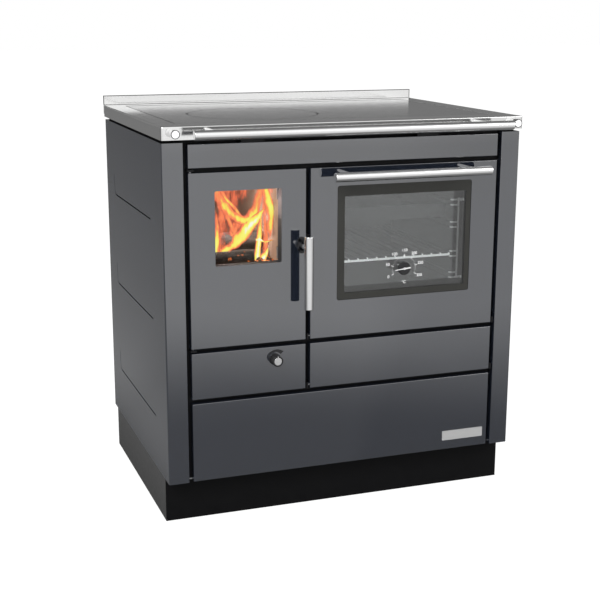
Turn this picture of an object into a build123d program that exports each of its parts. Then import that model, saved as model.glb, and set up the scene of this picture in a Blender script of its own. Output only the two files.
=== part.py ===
"""Wood-fired kitchen cookstove: fire side on the left, baking oven on the right.

Millimetres.  X runs across the front from left to right, Y runs from front to back, Z is up.
The origin lies on the floor, under the middle of the cabinet.
"""
import os
from math import cos, radians, sin

from build123d import *

os.makedirs("parts", exist_ok=True)

# ------------------------------------------------------------------ allowances of the construction
through = 1.0                    # cuts run past the faces that they open by this
edge_slice = 0.1                 # an edge is picked within this distance of its place
edge_round_share = 0.75          # round of a folded edge, of the sheet's thickness
head_round_share = 0.6           # round of a screw head or cap, of its height

# ------------------------------------------------------------------ cabinet
body_width = 800.0
body_depth = 573.0
sheet = 2.0                      # outer casing sheet
stile_width = 44.0               # side panel seen from the front
side_gap = 9.5                   # dark joint between a stile and the fronts
column_gap = 10.0                # dark joint between the fire side and the oven side
row_gap = 9.5                    # dark joint between two rows of fronts
fire_column_width = 250.5
bottom_joint = 1.0               # wood drawer front above the cabinet's lower edge
drawer_front_height = 171.0
ash_row_height = 99.5
door_height = 365.0
fascia_height = 48.0
top_joint = 3.5                  # side panels above the fascia
side_bend = 4.0                  # outer bend radius of the side panels
rear_return = 20.0

# ------------------------------------------------------------------ plinth
plinth_height = 99.0
plinth_front_recess = 43.0
plinth_side_recess = 2.0
plinth_back_recess = 22.0
floor_plate_thickness = 3.0
base_thickness = 3.0

# ------------------------------------------------------------------ hob
hob_joint = 6.5                  # dark joint under the hob frame
hob_height = 27.0
hob_front_overhang = 7.5
hob_side_overhang = 2.0
hob_back_overhang = 6.5
hob_sheet = 3.0
hob_corner_radius = 6.0
hob_edge_radius = 2.0
cooktop_side_margin = 42.0       # cabinet side to the cooktop's edge
cooktop_front_margin = 54.0
cooktop_back_margin = 45.0
cooktop_thickness = 6.0
cooktop_clearance = 0.5
ledge_width = 10.0
zone_across = 262.5              # cooking zone centre from the cabinet's left side
zone_depth = 235.0
zone_radius = 144.0
zone_groove_width = 1.2
zone_groove_depth = 0.6
zone_dot_radius = 2.5
zone_dot_turn = -17.0
upstand_height = 22.0
upstand_lap = 21.0
upstand_thickness = 1.5
ring_thickness = 10.0
ring_edge = 8.0                  # ring set back from the cabinet's outline
ring_width = 50.0
slide_port_trim = 2.0            # slide plate past its port on each side
clip_width = 50.0
clip_starts = (165.0, 555.0)      # from the cabinet's left side
clip_front = 2.0

# ------------------------------------------------------------------ front rail
bar_radius = 9.8
bar_end_round = 1.2
post_radius = 6.5
rail_depth = -60.0               # bar axis in front of the fronts
rail_inset = 51.5
rail_post_inset = 100.0

# ------------------------------------------------------------------ pull knobs and air slides
pull_radius = 9.0
pull_edge_round = 1.0
pull_front = -30.0
pull_inset = 22.0
pull_joint = 0.5
pull_rod_radius = 4.0
pull_rod_end = 520.0
pull_hole_radius = 5.0
guide_clearance = 0.05
guide_width = 14.0
guide_length = 12.0
guide_depths = (60.0, 440.0)
slide_plate_width = 16.0
slide_plate_front = 290.0
slide_plate_length = 110.0
slide_plate_thickness = 2.0
slide_lug_width = 6.0
slide_port_margin = 8.0
seat_clearance = 0.3

# ------------------------------------------------------------------ front panels
panel_depth = 18.0               # folded front panels
frame_depth = 20.0               # front face of the carcass frame
frame_thickness = 4.0
panel_edge_radius = 1.2
panel_margin = 20.0              # a front overlaps its opening by this much
hinge_edge = 5.5                 # hinge axis from the panel's edge
hinge_depth = 8.0
hinge_pin_radius = 3.0
hinge_clearance = 0.05
hinge_boss_radius = 5.0
hinge_boss_length = 9.0
bracket_thickness = 4.0
bracket_front = 2.0
bracket_width = 13.0

# ------------------------------------------------------------------ fire door
window_left = 54.0               # window from the door's left edge
window_bottom = 171.8            # window from the door's lower edge
window_width = 142.5
window_height = 154.9
window_corner = 4.0
inner_plate_front = 14.0
glass_frame_margin = 9.0
glass_frame_depth = 24.0
fire_glass_thickness = 4.0
glass_edge = 1.0                 # glass inside its frame
glass_clip_length = 24.0
glass_clip_width = 10.0
glass_clip_thickness = 1.5
seal_width = 9.0
seal_inset = 1.0
fire_opening_margin = 14.0       # carcass opening outside the glass frame
handle_radius = 9.8
handle_length = 154.0
handle_top = 25.0                # bar above its turning axis
handle_edge = 9.5                # bar axis from the door's right edge
handle_drop = 159.5              # turning axis below the door's upper edge
standoff = 43.5                  # bar axis in front of the door
hub_radius = 11.0
hub_length = 12.0
neck_radius = 7.0
spindle_radius = 5.0
spindle_clearance = 0.05
rosette_width = 18.0
rosette_height = 35.0
rosette_thickness = 2.0
latch_length = 15.0
latch_width = 8.0
latch_thickness = 4.4
latch_front = 8.0                # front of the tongue, inside the door's hollow
latch_slot_margin = 2.0          # slot in the door's edge around the turning tongue
keeper_offset = 11.5             # keeper right of the handle axis
keeper_width = 7.0
keeper_height = 16.0
keeper_front = 6.0

# ------------------------------------------------------------------ oven door
oven_glass_left = 59.8           # outer pane from the door's left edge
oven_glass_right = 59.8
oven_glass_bottom = 79.8
oven_glass_top = 39.5
oven_glass_corner = 5.0
oven_glass_front = 1.0
oven_glass_thickness = 4.0
glass_joint = 0.5
liner_margin = 4.0               # liner opening inside the pane's outline
liner_back = 30.0
liner_wall = 3.0
oven_handle_inset = 37.0         # bar ends from the door's edges
oven_handle_drop = 15.5
oven_post_inset = 38.0
dial_height = 138.7              # dial centre above the door's lower edge
dial_radius = 14.5
dial_thickness = 3.0
dial_round = 0.8
dial_stem_radius = 3.0
dial_stem_end = 60.0
dial_hole_radius = 4.0
pointer_gap = 0.3
pointer_thickness = 0.8
pointer_long = 22.0
pointer_short = 14.0
pointer_tip_width = 1.0
pointer_tail_width = 2.4
pointer_boss_radius = 2.6
pointer_pin_radius = 1.0
pointer_rest = 186.0             # needle direction at room temperature

# ------------------------------------------------------------------ oven and smoke case
oven_opening_margin = 5.0        # oven walls inside the pane's outline
oven_floor_drop = 19.0
oven_roof_rise = 7.0
oven_back = 435.0
oven_wall = 1.5
oven_flange = 10.0
upright_radius = 2.0
rung_radius = 1.8
rung_bend = 5.0
rack_front = 45.0
rack_back = 410.0
rack_wall_gap = 12.0
rack_step = 16.0                 # rungs stand inwards from the uprights
rack_levels = (39.0, 87.5, 153.0, 203.0)   # rungs above the oven floor
rack_pair = 11.5
rack_peg_radius = 3.0
upright_past_peg = 1.0
shelf_level = 1
shelf_rail_radius = 2.5
shelf_wire_radius = 1.5
shelf_wire_pitch = 22.0
shelf_wire_rise = 4.0
shelf_wire_bend = 2.5
shelf_corner = 8.0
tray_depth = 30.0
tray_setback = 17.0
tray_clearance = 1.0
tray_corner = 12.0
tray_lip = 5.0
tray_wall = 1.2
case_wall = 3.0
case_right = 57.0                # case wall from the cabinet's right side
case_back = 503.0
case_floor_rise = 5.5            # underside of the smoke case above the ash front's lower edge

# ------------------------------------------------------------------ firebox
firebox_left = 62.0
firebox_right = 298.0
firebox_back = 470.0
firebox_wall = 3.0
passage_set_back = 40.0          # smoke passage into the oven case
passage_drop = 45.0              # passage below the top of the bricks
passage_top = 7.0
grate_shelf_rise = 102.5         # shelf under grate and bricks above the doors' lower edge
brick_thickness = 25.0
brick_height = 290.0
brick_joint = 0.5
sill_height = 43.0
grate_front = 60.0
grate_length = 370.0
grate_width = 150.0
grate_thickness = 10.0
grate_slot_width = 9.0
grate_slot_pitch = 18.0
grate_slot_margin = 14.0
grate_ledge = 8.0
log_radii = (29.0, 26.0, 24.0)
log_depths = (150.0, 214.0, 176.0)
log_length = 166.0

# ------------------------------------------------------------------ ash drawer and air knob
ash_floor_rise = 7.5             # ash floor above the ash front's lower edge
ash_floor_thickness = 3.0
pan_width = 198.0
pan_height = 62.0
pan_back = 430.0
pan_wall = 1.5
ash_opening_side = 4.0
ash_opening_top = 18.0
knob_across = 181.4              # knob axis from the ash front's left edge
knob_height = 72.2
knob_radius = 11.7
knob_standoff = 20.5
knob_round = 1.0
knob_base_radius = 12.6
knob_base_length = 4.0
cap_radius = 8.1
cap_proud = 0.6
cap_depth = 1.4
knob_spindle_radius = 4.0
register_radius = 24.0
register_thickness = 2.0
register_port_inner = 10.0
register_port_outer = 20.0
register_port_start = 20.0
register_port_angle = 140.0

# ------------------------------------------------------------------ wood drawer
drawer_side_margin = 30.0        # drawer box inside its front
drawer_floor_rise = 18.0
drawer_box_height = 132.0
drawer_back = 520.0
drawer_wall = 1.5
drawer_opening_gap = 10.0
runner_height = 60.0             # runner shelf above the drawer box floor
runner_sheet = 3.0
runner_slot = 10.3               # height between the flanges above the sliding clearance
runner_side_clearance = 1.0
slide_clearance = 0.05
drawer_rail_width = 8.0
runner_front = 30.0
runner_back = 540.0
badge_width = 101.0
badge_height = 22.0
badge_right = 11.5
badge_bottom = 21.5
badge_thickness = 1.2
badge_corner = 1.5

# ------------------------------------------------------------------ casing vents and back
slit_width = 3.0
slit_rises = (549.0, 335.0, 119.0)   # level stretches above the plinth
slit_upright = 47.0              # upright stretch of a slit
slit_back = 485.0
slit_front = 112.0
slit_bend = 20.0
shield_gap = 26.0                # casing to inner heat shield
flue_across = 560.0
flue_rise = 270.5                # collar centre above the doors' lower edge
flue_radius = 74.5
flue_wall = 2.0
flue_reach = 45.0
air_across = 180.0
air_rise = 71.5                  # collar centre above the ash front's lower edge
air_radius = 49.5
air_reach = 35.0
collar_step = 1.0                # a collar's inner end is narrower than its outer end by this
collar_clearance = 0.5
port_share = 0.7                 # half side of the square air port, to the bore of its round collar
plate_gap = 0.2                  # between the plates of the firebox casing's back wall
screw_radius = 4.0
screw_head = 2.5
screw_rises = (31.0, 251.0, 471.0, 691.0)   # rows of screws above the plinth
screw_inset = 12.0

# ------------------------------------------------------------------ places worked out from the sizes
half_width = body_width / 2
front_y = -body_depth / 2


def across(distance):
    """X at a distance from the cabinet's left side."""
    return distance - half_width


def behind(depth):
    """Y at a depth behind the faces of the fronts."""
    return front_y + depth


def front_plane(depth):
    """Upright plane at a depth behind the fronts; local axes are X and Z."""
    return Plane.XZ.offset(-behind(depth))


def block(x_span, y_span, z_span, mode=Mode.ADD):
    """Box between two X, two Y and two Z values."""
    spans = (x_span, y_span, z_span)
    with Locations([tuple((low + high) / 2 for low, high in spans)]):
        Box(*(high - low for low, high in spans), mode=mode)


def rod_along_y(x, z, radius, y_span, mode=Mode.ADD):
    """Round bar along Y."""
    with BuildSketch(Plane.XZ.offset(-y_span[0])) as section:
        with Locations((x, z)):
            Circle(radius)
    extrude(section.sketch, amount=-(y_span[1] - y_span[0]), mode=mode)


def square_cut(x, z, half_side, y_span):
    """Square cut-out through a plate that stands across Y."""
    block((x - half_side, x + half_side), past(y_span), (z - half_side, z + half_side), Mode.SUBTRACT)


def rod_along_x(y, z, radius, x_span, mode=Mode.ADD):
    """Round bar along X."""
    with BuildSketch(Plane.YZ.offset(x_span[0])) as section:
        with Locations((y, z)):
            Circle(radius)
    extrude(section.sketch, amount=x_span[1] - x_span[0], mode=mode)


def rod_along_z(x, y, radius, z_span, mode=Mode.ADD):
    """Round bar along Z."""
    with BuildSketch(Plane.XY.offset(z_span[0])) as section:
        with Locations((x, y)):
            Circle(radius)
    extrude(section.sketch, amount=z_span[1] - z_span[0], mode=mode)


def shrink(span, margin):
    """A span drawn in by a margin at both ends."""
    return (span[0] + margin, span[1] - margin)


def past(span):
    """A span that runs past both its ends, for a cut."""
    return shrink(span, -through)


def edges_at_depth(piece, y):
    """Edges of a piece that lie at one Y."""
    return piece.edges().filter_by_position(Axis.Y, y - edge_slice, y + edge_slice)


def finish(piece, label):
    """Label a piece and write it."""
    piece.part.label = label
    export_step(piece.part, f"parts/{label}.step")


# rows of fronts, from the bottom
drawer_z = (plinth_height + bottom_joint, plinth_height + bottom_joint + drawer_front_height)
ash_z = (drawer_z[1] + row_gap, drawer_z[1] + row_gap + ash_row_height)
door_z = (ash_z[1] + row_gap, ash_z[1] + row_gap + door_height)
fascia_z = (door_z[1] + row_gap, door_z[1] + row_gap + fascia_height)
body_top = fascia_z[1] + top_joint
ring_z = (fascia_z[1], fascia_z[1] + ring_thickness)
hob_z = (body_top + hob_joint, body_top + hob_joint + hob_height)

# columns of fronts
fire_x = (across(stile_width + side_gap), across(stile_width + side_gap + fire_column_width))
oven_x = (fire_x[1] + column_gap, across(body_width - stile_width - side_gap))
fronts_x = (fire_x[0], oven_x[1])
skin_y = (behind(0), behind(sheet))
inner_x = (across(sheet), across(body_width - sheet))
frame_y = (behind(frame_depth), behind(frame_depth + frame_thickness))
back_y = (behind(body_depth - 2 * sheet), behind(body_depth - sheet))

# fire door places
window_x = (fire_x[0] + window_left, fire_x[0] + window_left + window_width)
window_z = (door_z[0] + window_bottom, door_z[0] + window_bottom + window_height)
glass_frame_x = (window_x[0] - glass_frame_margin, window_x[1] + glass_frame_margin)
glass_frame_z = (window_z[0] - glass_frame_margin, window_z[1] + glass_frame_margin)
fire_opening_x = (glass_frame_x[0] - fire_opening_margin, glass_frame_x[1] + fire_opening_margin)
fire_opening_z = (glass_frame_z[0] - fire_opening_margin, glass_frame_z[1] + fire_opening_margin)
handle_x = fire_x[1] - handle_edge
handle_z = door_z[1] - handle_drop
latch_y = (behind(latch_front), behind(latch_front + latch_thickness))
latch_slot_z = (
    handle_z - latch_length - latch_slot_margin,
    handle_z + latch_width / 2 + latch_slot_margin,
)

# oven door places
pane_x = (oven_x[0] + oven_glass_left, oven_x[1] - oven_glass_right)
pane_z = (door_z[0] + oven_glass_bottom, door_z[1] - oven_glass_top)
liner_hole_x = shrink(pane_x, liner_margin)
liner_hole_z = shrink(pane_z, liner_margin)
oven_inside_x = (pane_x[0] - oven_opening_margin, pane_x[1] + oven_opening_margin)
oven_inside_z = (pane_z[0] - oven_floor_drop, pane_z[1] + oven_roof_rise)
plug_x = (pane_x[0] - liner_wall + glass_joint, pane_x[1] + liner_wall - glass_joint)
plug_z = (pane_z[0] - liner_wall + glass_joint, pane_z[1] + liner_wall - glass_joint)
dial_x = (oven_x[0] + oven_x[1]) / 2
dial_z = door_z[0] + dial_height
oven_handle_z = door_z[1] - oven_handle_drop
oven_handle_x = shrink(oven_x, oven_handle_inset)
oven_post_x = shrink(oven_handle_x, oven_post_inset)

# places of the pipe collars
flue_height = door_z[0] + flue_rise
air_height = ash_z[0] + air_rise

# firebox places
firebox_x = (across(firebox_left), across(firebox_right))
firebox_y = (frame_y[1], behind(firebox_back))
grate_shelf = door_z[0] + grate_shelf_rise
grate_shelf_z = (grate_shelf, grate_shelf + firebox_wall)
chamber_x = shrink(firebox_x, firebox_wall + brick_thickness)
case_x = (firebox_x[1], across(body_width - case_right))
case_y = (frame_y[1], behind(case_back))
case_z = (ash_z[0] + case_floor_rise, ring_z[0])
fire_middle = (firebox_x[0] + firebox_x[1]) / 2
grate_y = (behind(grate_front), behind(grate_front + grate_length))

# ash drawer places
ash_floor_z = (ash_z[0] + ash_floor_rise, ash_z[0] + ash_floor_rise + ash_floor_thickness)
pan_x = (fire_middle - pan_width / 2, fire_middle + pan_width / 2)
pan_z = (ash_floor_z[1] + seat_clearance, ash_floor_z[1] + seat_clearance + pan_height)
knob_x = fire_x[0] + knob_across
knob_z = ash_z[0] + knob_height

# wood drawer places
drawer_x = shrink(fronts_x, drawer_side_margin)
drawer_box_z = (drawer_z[0] + drawer_floor_rise, drawer_z[0] + drawer_floor_rise + drawer_box_height)
shield_x = (across(sheet + shield_gap), across(body_width - sheet - shield_gap))
runner_z = drawer_box_z[0] + runner_height

# openings of the carcass frame: X span, Z span
ash_opening = (
    (pan_x[0] - ash_opening_side, pan_x[1] + ash_opening_side),
    (ash_floor_z[1], pan_z[1] + ash_opening_top),
)
oven_opening = (oven_inside_x, oven_inside_z)
soot_opening = (shrink(oven_x, panel_margin), shrink(ash_z, panel_margin))
drawer_opening = (
    (drawer_x[0] - drawer_opening_gap, drawer_x[1] + drawer_opening_gap),
    (drawer_box_z[0] - drawer_opening_gap, drawer_z[1] - drawer_opening_gap),
)


# ================================================================== plinth and floor
with BuildPart() as floor_plate:
    inset = plinth_side_recess + sheet
    block(
        (across(inset), across(body_width - inset)),
        (behind(plinth_front_recess + sheet), behind(body_depth - plinth_back_recess - sheet)),
        (0, floor_plate_thickness),
    )
finish(floor_plate, "floor_plate")

plinth_x = (across(plinth_side_recess), across(body_width - plinth_side_recess))
plinth_y = (behind(plinth_front_recess), behind(body_depth - plinth_back_recess))

with BuildPart() as plinth_surround:
    block(plinth_x, (plinth_y[0] + sheet, plinth_y[1]), (0, plinth_height))
    block(
        shrink(plinth_x, sheet), (plinth_y[0], plinth_y[1] - sheet), (-through, plinth_height + through),
        mode=Mode.SUBTRACT,
    )
finish(plinth_surround, "plinth_surround")

with BuildPart() as plinth_front:
    block(plinth_x, (plinth_y[0], plinth_y[0] + sheet), (0, plinth_height))
finish(plinth_front, "plinth_front")

# ================================================================== carcass
with BuildPart() as carcass_base:
    block(inner_x, (frame_y[0], back_y[0]), (plinth_height, plinth_height + base_thickness))
finish(carcass_base, "carcass_base")


def slit_path(height):
    """Centre line of one vent slit on a side panel: down, round the bend and forwards."""
    with BuildLine() as line:
        FilletPolyline(
            (behind(slit_back), height + slit_upright),
            (behind(slit_back), height),
            (behind(slit_front), height),
            radius=slit_bend,
        )
    return line.line


def side_panel(edge, inward):
    """Folded side panel; edge is the outer X and inward is +1 on the left, -1 on the right."""
    with BuildPart() as panel:
        with BuildSketch(Plane.XY.offset(plinth_height)):
            with BuildLine():
                Polyline(
                    (edge, behind(body_depth)),
                    (edge, behind(0)),
                    (edge + inward * stile_width, behind(0)),
                    (edge + inward * stile_width, behind(frame_depth)),
                    (edge + inward * (stile_width - sheet), behind(frame_depth)),
                    (edge + inward * (stile_width - sheet), behind(sheet)),
                    (edge + inward * sheet, behind(sheet)),
                    (edge + inward * sheet, behind(body_depth - sheet)),
                    (edge + inward * rear_return, behind(body_depth - sheet)),
                    (edge + inward * rear_return, behind(body_depth)),
                    close=True,
                )
            make_face()
        extrude(amount=body_top - plinth_height)
        upright = edges_at_depth(panel, behind(0)).filter_by(Axis.Z)
        fillet(upright.sort_by(Axis.X)[0 if inward > 0 else -1], side_bend)
        fillet(upright.sort_by(Axis.X)[-1 if inward > 0 else 0], sheet * edge_round_share)
        for rise in slit_rises:
            with BuildSketch(Plane.YZ.offset(edge - inward * through)) as slit:
                with BuildLine():
                    add(slit_path(plinth_height + rise))
                trace(line_width=slit_width)
            extrude(slit.sketch, amount=inward * (sheet + 2 * through), mode=Mode.SUBTRACT)
    return panel


left_side_panel = side_panel(across(0), 1)
finish(left_side_panel, "left_side_panel")
right_side_panel = side_panel(across(body_width), -1)
finish(right_side_panel, "right_side_panel")

with BuildPart() as heat_shields:
    shield_z = (plinth_height + base_thickness, ring_z[0])
    block((shield_x[0], shield_x[0] + sheet), (frame_y[1], back_y[0]), shield_z)
    block((shield_x[1] - sheet, shield_x[1]), (frame_y[1], back_y[0]), shield_z)
finish(heat_shields, "heat_shields")

with BuildPart() as back_panel:
    block(inner_x, back_y, (plinth_height, body_top))
    square_cut(across(flue_across), flue_height, flue_radius + collar_clearance, back_y)
    square_cut(across(air_across), air_height, air_radius + collar_clearance, back_y)
finish(back_panel, "back_panel")

with BuildPart() as back_screws:
    screw_x = (across(body_width - rear_return - screw_inset), across(rear_return + screw_inset))
    screw_z = [plinth_height + rise for rise in screw_rises]
    with BuildSketch(Plane.XZ.offset(-back_y[1])):
        with Locations([(x, z) for x in screw_x for z in screw_z]):
            Circle(screw_radius)
    extrude(amount=-screw_head)
    fillet(edges_at_depth(back_screws, back_y[1] + screw_head), screw_head * head_round_share)
finish(back_screws, "back_screws")

with BuildPart() as front_frame:
    block(inner_x, frame_y, (plinth_height + base_thickness, ring_z[0]))
    cut_y = past(frame_y)
    for x_span, z_span in (
        (fire_opening_x, fire_opening_z), ash_opening, oven_opening, soot_opening, drawer_opening,
    ):
        block(x_span, cut_y, z_span, mode=Mode.SUBTRACT)
    # keeper of the latch, a block of its own in the joint between the two doors
    keeper_x = (handle_x + keeper_offset, handle_x + keeper_offset + keeper_width)
    keeper_bottom = handle_z + latch_width / 2 + seat_clearance
    block(keeper_x, (behind(keeper_front), frame_y[0] - seat_clearance),
          (keeper_bottom, keeper_bottom + keeper_height))
finish(front_frame, "front_frame")


def folded_front(x_span, z_span, depth=panel_depth):
    """Outer skin of a front: a flat tray, open at the back, in the running builder."""
    context = BuildPart._get_context()
    block(x_span, (behind(0), behind(depth)), z_span)
    fillet(context.faces().sort_by(Axis.Y)[0].edges(), panel_edge_radius)
    block(shrink(x_span, sheet), (behind(sheet), behind(depth) + through), shrink(z_span, sheet),
          mode=Mode.SUBTRACT)


with BuildPart() as fascia:
    folded_front(fronts_x, fascia_z, frame_depth)
finish(fascia, "fascia")

# ================================================================== hob
ring_x = (across(ring_edge), across(body_width - ring_edge))
ring_y = (frame_y[0], behind(body_depth - ring_edge))
pull_z = (hob_z[0] + hob_z[1]) / 2
pull_x = (across(pull_inset), across(body_width - pull_inset))
slide_y = (behind(slide_plate_front), behind(slide_plate_front + slide_plate_length))

with BuildPart() as top_ring:
    block(ring_x, ring_y, ring_z)
    block(shrink(ring_x, ring_width), shrink(ring_y, ring_width), past(ring_z),
          mode=Mode.SUBTRACT)
    for x in pull_x:
        port_width = slide_plate_width / 2 - slide_port_trim
        block((x - port_width, x + port_width), shrink(slide_y, slide_port_margin),
              past(ring_z), mode=Mode.SUBTRACT)
        for depth in guide_depths:
            guide_y = (behind(depth), behind(depth + guide_length))
            block((x - guide_width / 2, x + guide_width / 2), guide_y,
                  (ring_z[1], pull_z + guide_width / 2))
            rod_along_y(x, pull_z, pull_rod_radius + guide_clearance,
                        past(guide_y), mode=Mode.SUBTRACT)
    for start in clip_starts:
        block((across(start), across(start + clip_width)), (behind(clip_front), ring_y[0]), ring_z)
finish(top_ring, "top_ring")

hob_x = (across(-hob_side_overhang), across(body_width + hob_side_overhang))
hob_y = (behind(-hob_front_overhang), behind(body_depth + hob_back_overhang))
cooktop_x = (across(cooktop_side_margin), across(body_width - cooktop_side_margin))
cooktop_y = (behind(cooktop_front_margin), behind(body_depth - cooktop_back_margin))

with BuildPart() as hob_frame:
    block(hob_x, hob_y, hob_z)
    fillet(hob_frame.edges().filter_by(Axis.Z), hob_corner_radius)
    fillet(hob_frame.faces().sort_by(Axis.Z)[-1].edges(), hob_edge_radius)
    # hollow between the outer skirt and the inner web, open below
    channel_z = (hob_z[0] - through, hob_z[1] - hob_sheet)
    with BuildSketch(Plane.XY.offset(channel_z[0])):
        with Locations(((hob_x[0] + hob_x[1]) / 2, (hob_y[0] + hob_y[1]) / 2)):
            RectangleRounded(hob_x[1] - hob_x[0] - 2 * hob_sheet, hob_y[1] - hob_y[0] - 2 * hob_sheet,
                             hob_corner_radius - hob_sheet)
        with Locations(((cooktop_x[0] + cooktop_x[1]) / 2, (cooktop_y[0] + cooktop_y[1]) / 2)):
            Rectangle(cooktop_x[1] - cooktop_x[0] + 2 * hob_sheet,
                      cooktop_y[1] - cooktop_y[0] + 2 * hob_sheet, mode=Mode.SUBTRACT)
    extrude(amount=channel_z[1] - channel_z[0], mode=Mode.SUBTRACT)
    # recess for the cooktop and the opening under it
    block(cooktop_x, cooktop_y, (hob_z[1] - cooktop_thickness, hob_z[1] + through), mode=Mode.SUBTRACT)
    block(shrink(cooktop_x, ledge_width), shrink(cooktop_y, ledge_width), (hob_z[0] - through, hob_z[1]),
          mode=Mode.SUBTRACT)
    block(cooktop_x, cooktop_y, (hob_z[0] - through, hob_z[1] - cooktop_thickness - hob_sheet),
          mode=Mode.SUBTRACT)
    for x in pull_x:
        rod_along_y(x, pull_z, pull_hole_radius, (hob_y[0] - through, hob_y[0] + hob_sheet + through),
                    mode=Mode.SUBTRACT)
finish(hob_frame, "hob_frame")

with BuildPart() as cooktop_plate:
    plate_x = shrink(cooktop_x, cooktop_clearance)
    plate_y = shrink(cooktop_y, cooktop_clearance)
    block(plate_x, plate_y, (hob_z[1] - cooktop_thickness, hob_z[1]))
    fillet(cooktop_plate.faces().sort_by(Axis.Z)[-1].edges(), cooktop_clearance)
    zone_centre = (across(zone_across), behind(zone_depth))
    with BuildSketch(Plane.XY.offset(hob_z[1] - zone_groove_depth)):
        with Locations(zone_centre):
            Circle(zone_radius + zone_groove_width / 2)
            Circle(zone_radius - zone_groove_width / 2, mode=Mode.SUBTRACT)
            with PolarLocations(zone_radius, 4, start_angle=zone_dot_turn):
                Circle(zone_dot_radius)
    extrude(amount=zone_groove_depth + through, mode=Mode.SUBTRACT)
finish(cooktop_plate, "cooktop_plate")

with BuildPart() as rear_upstand:
    upstand_z = (hob_z[1] - upstand_lap, hob_z[1] + upstand_height)
    block(hob_x, (hob_y[1], hob_y[1] + upstand_thickness), upstand_z)
finish(rear_upstand, "rear_upstand")

# ================================================================== front rail
rail_x = (across(rail_inset), across(body_width - rail_inset))

with BuildPart() as rail_bar:
    rod_along_x(behind(rail_depth), pull_z, bar_radius, rail_x)
    fillet(rail_bar.edges().filter_by(GeomType.CIRCLE), bar_end_round)
finish(rail_bar, "rail_bar")

with BuildPart() as rail_posts:
    for x in (across(rail_post_inset), across(body_width - rail_post_inset)):
        rod_along_y(x, pull_z, post_radius, (behind(rail_depth), hob_y[0]))
    rod_along_x(behind(rail_depth), pull_z, bar_radius, rail_x, mode=Mode.SUBTRACT)
finish(rail_posts, "rail_posts")

# ================================================================== pull knobs and air slides
knob_y = (behind(pull_front), hob_y[0] - pull_joint)


def air_slide(x):
    """Pull knob and rod, with the slide plate that the rod draws over its air port."""
    with BuildPart() as slide:
        rod_along_y(x, pull_z, pull_radius, knob_y)
        fillet(edges_at_depth(slide, knob_y[0]), pull_edge_round)
        rod_along_y(x, pull_z, pull_rod_radius, (knob_y[1], behind(pull_rod_end)))
        plate_z = (ring_z[1] + seat_clearance, ring_z[1] + seat_clearance + slide_plate_thickness)
        block((x - slide_plate_width / 2, x + slide_plate_width / 2), slide_y, plate_z)
        block((x - slide_lug_width / 2, x + slide_lug_width / 2),
              shrink(slide_y, slide_plate_length / 2 - slide_lug_width), (plate_z[0], pull_z))
    return slide


left_air_slide = air_slide(pull_x[0])
finish(left_air_slide, "left_air_slide")
right_air_slide = air_slide(pull_x[1])
finish(right_air_slide, "right_air_slide")

# ================================================================== firebox
case_wall_y = (case_y[1] - case_wall, case_y[1])
grate_x = (fire_middle - grate_width / 2, fire_middle + grate_width / 2)
passage_y = (behind(passage_set_back), behind(firebox_back - passage_set_back))
passage_z = (grate_shelf_z[1] + brick_height - passage_drop, ring_z[0] - passage_top)

with BuildPart() as firebox_casing:
    casing_z = (ash_floor_z[0], ring_z[0])
    wrap_y = (firebox_y[0], firebox_y[1] - firebox_wall)
    block(firebox_x, wrap_y, casing_z)
    block(shrink(firebox_x, firebox_wall), past(wrap_y), (ash_floor_z[1], casing_z[1] + through),
          mode=Mode.SUBTRACT)
    block(past((firebox_x[1] - firebox_wall, firebox_x[1])), passage_y, passage_z, mode=Mode.SUBTRACT)
    block(shrink(firebox_x, firebox_wall), wrap_y, grate_shelf_z)
    block(shrink(grate_x, grate_ledge), shrink(grate_y, grate_ledge),
          past(grate_shelf_z), mode=Mode.SUBTRACT)
    # four plates close the back round the square air port
    back_wall_y = (wrap_y[1] + plate_gap, firebox_y[1])
    port_half = (air_radius - flue_wall) * port_share
    port_x = (across(air_across) - port_half, across(air_across) + port_half)
    port_z = (air_height - port_half, air_height + port_half)
    block(firebox_x, back_wall_y, (casing_z[0], port_z[0]))
    block((firebox_x[0], port_x[0]), back_wall_y, shrink(port_z, plate_gap))
    block((port_x[1], firebox_x[1]), back_wall_y, shrink(port_z, plate_gap))
    block(firebox_x, back_wall_y, (port_z[1], casing_z[1]))
finish(firebox_casing, "firebox_casing")

with BuildPart() as fire_grate:
    block(grate_x, grate_y, (grate_shelf_z[1], grate_shelf_z[1] + grate_thickness))
    slot_count = int((grate_width - 2 * grate_slot_margin) // grate_slot_pitch)
    slot_length = (grate_length - 3 * grate_slot_margin) / 2
    with BuildSketch(Plane.XY.offset(grate_shelf_z[1] - through)):
        with Locations((fire_middle, (grate_y[0] + grate_y[1]) / 2)):
            with GridLocations(grate_slot_pitch, slot_length + grate_slot_margin, slot_count, 2):
                SlotOverall(slot_length, grate_slot_width, rotation=90)
    extrude(amount=grate_thickness + 2 * through, mode=Mode.SUBTRACT)
finish(fire_grate, "fire_grate")

brick_z = (grate_shelf_z[1], grate_shelf_z[1] + brick_height)
lining_x = shrink(firebox_x, firebox_wall)
lining_y = (firebox_y[0] + brick_joint, firebox_y[1] - firebox_wall)

with BuildPart() as firebricks:
    block((lining_x[0], chamber_x[0]), lining_y, brick_z)
    block((chamber_x[1], lining_x[1]), lining_y, brick_z)
    block(past((chamber_x[1], lining_x[1])), passage_y, (passage_z[0], brick_z[1] + through),
          mode=Mode.SUBTRACT)
    block(shrink(chamber_x, brick_joint), (lining_y[1] - brick_thickness, lining_y[1]), brick_z)
    block(shrink(chamber_x, brick_joint), (lining_y[0], lining_y[0] + brick_thickness),
          (brick_z[0], brick_z[0] + sill_height))
finish(firebricks, "firebricks")

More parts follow.
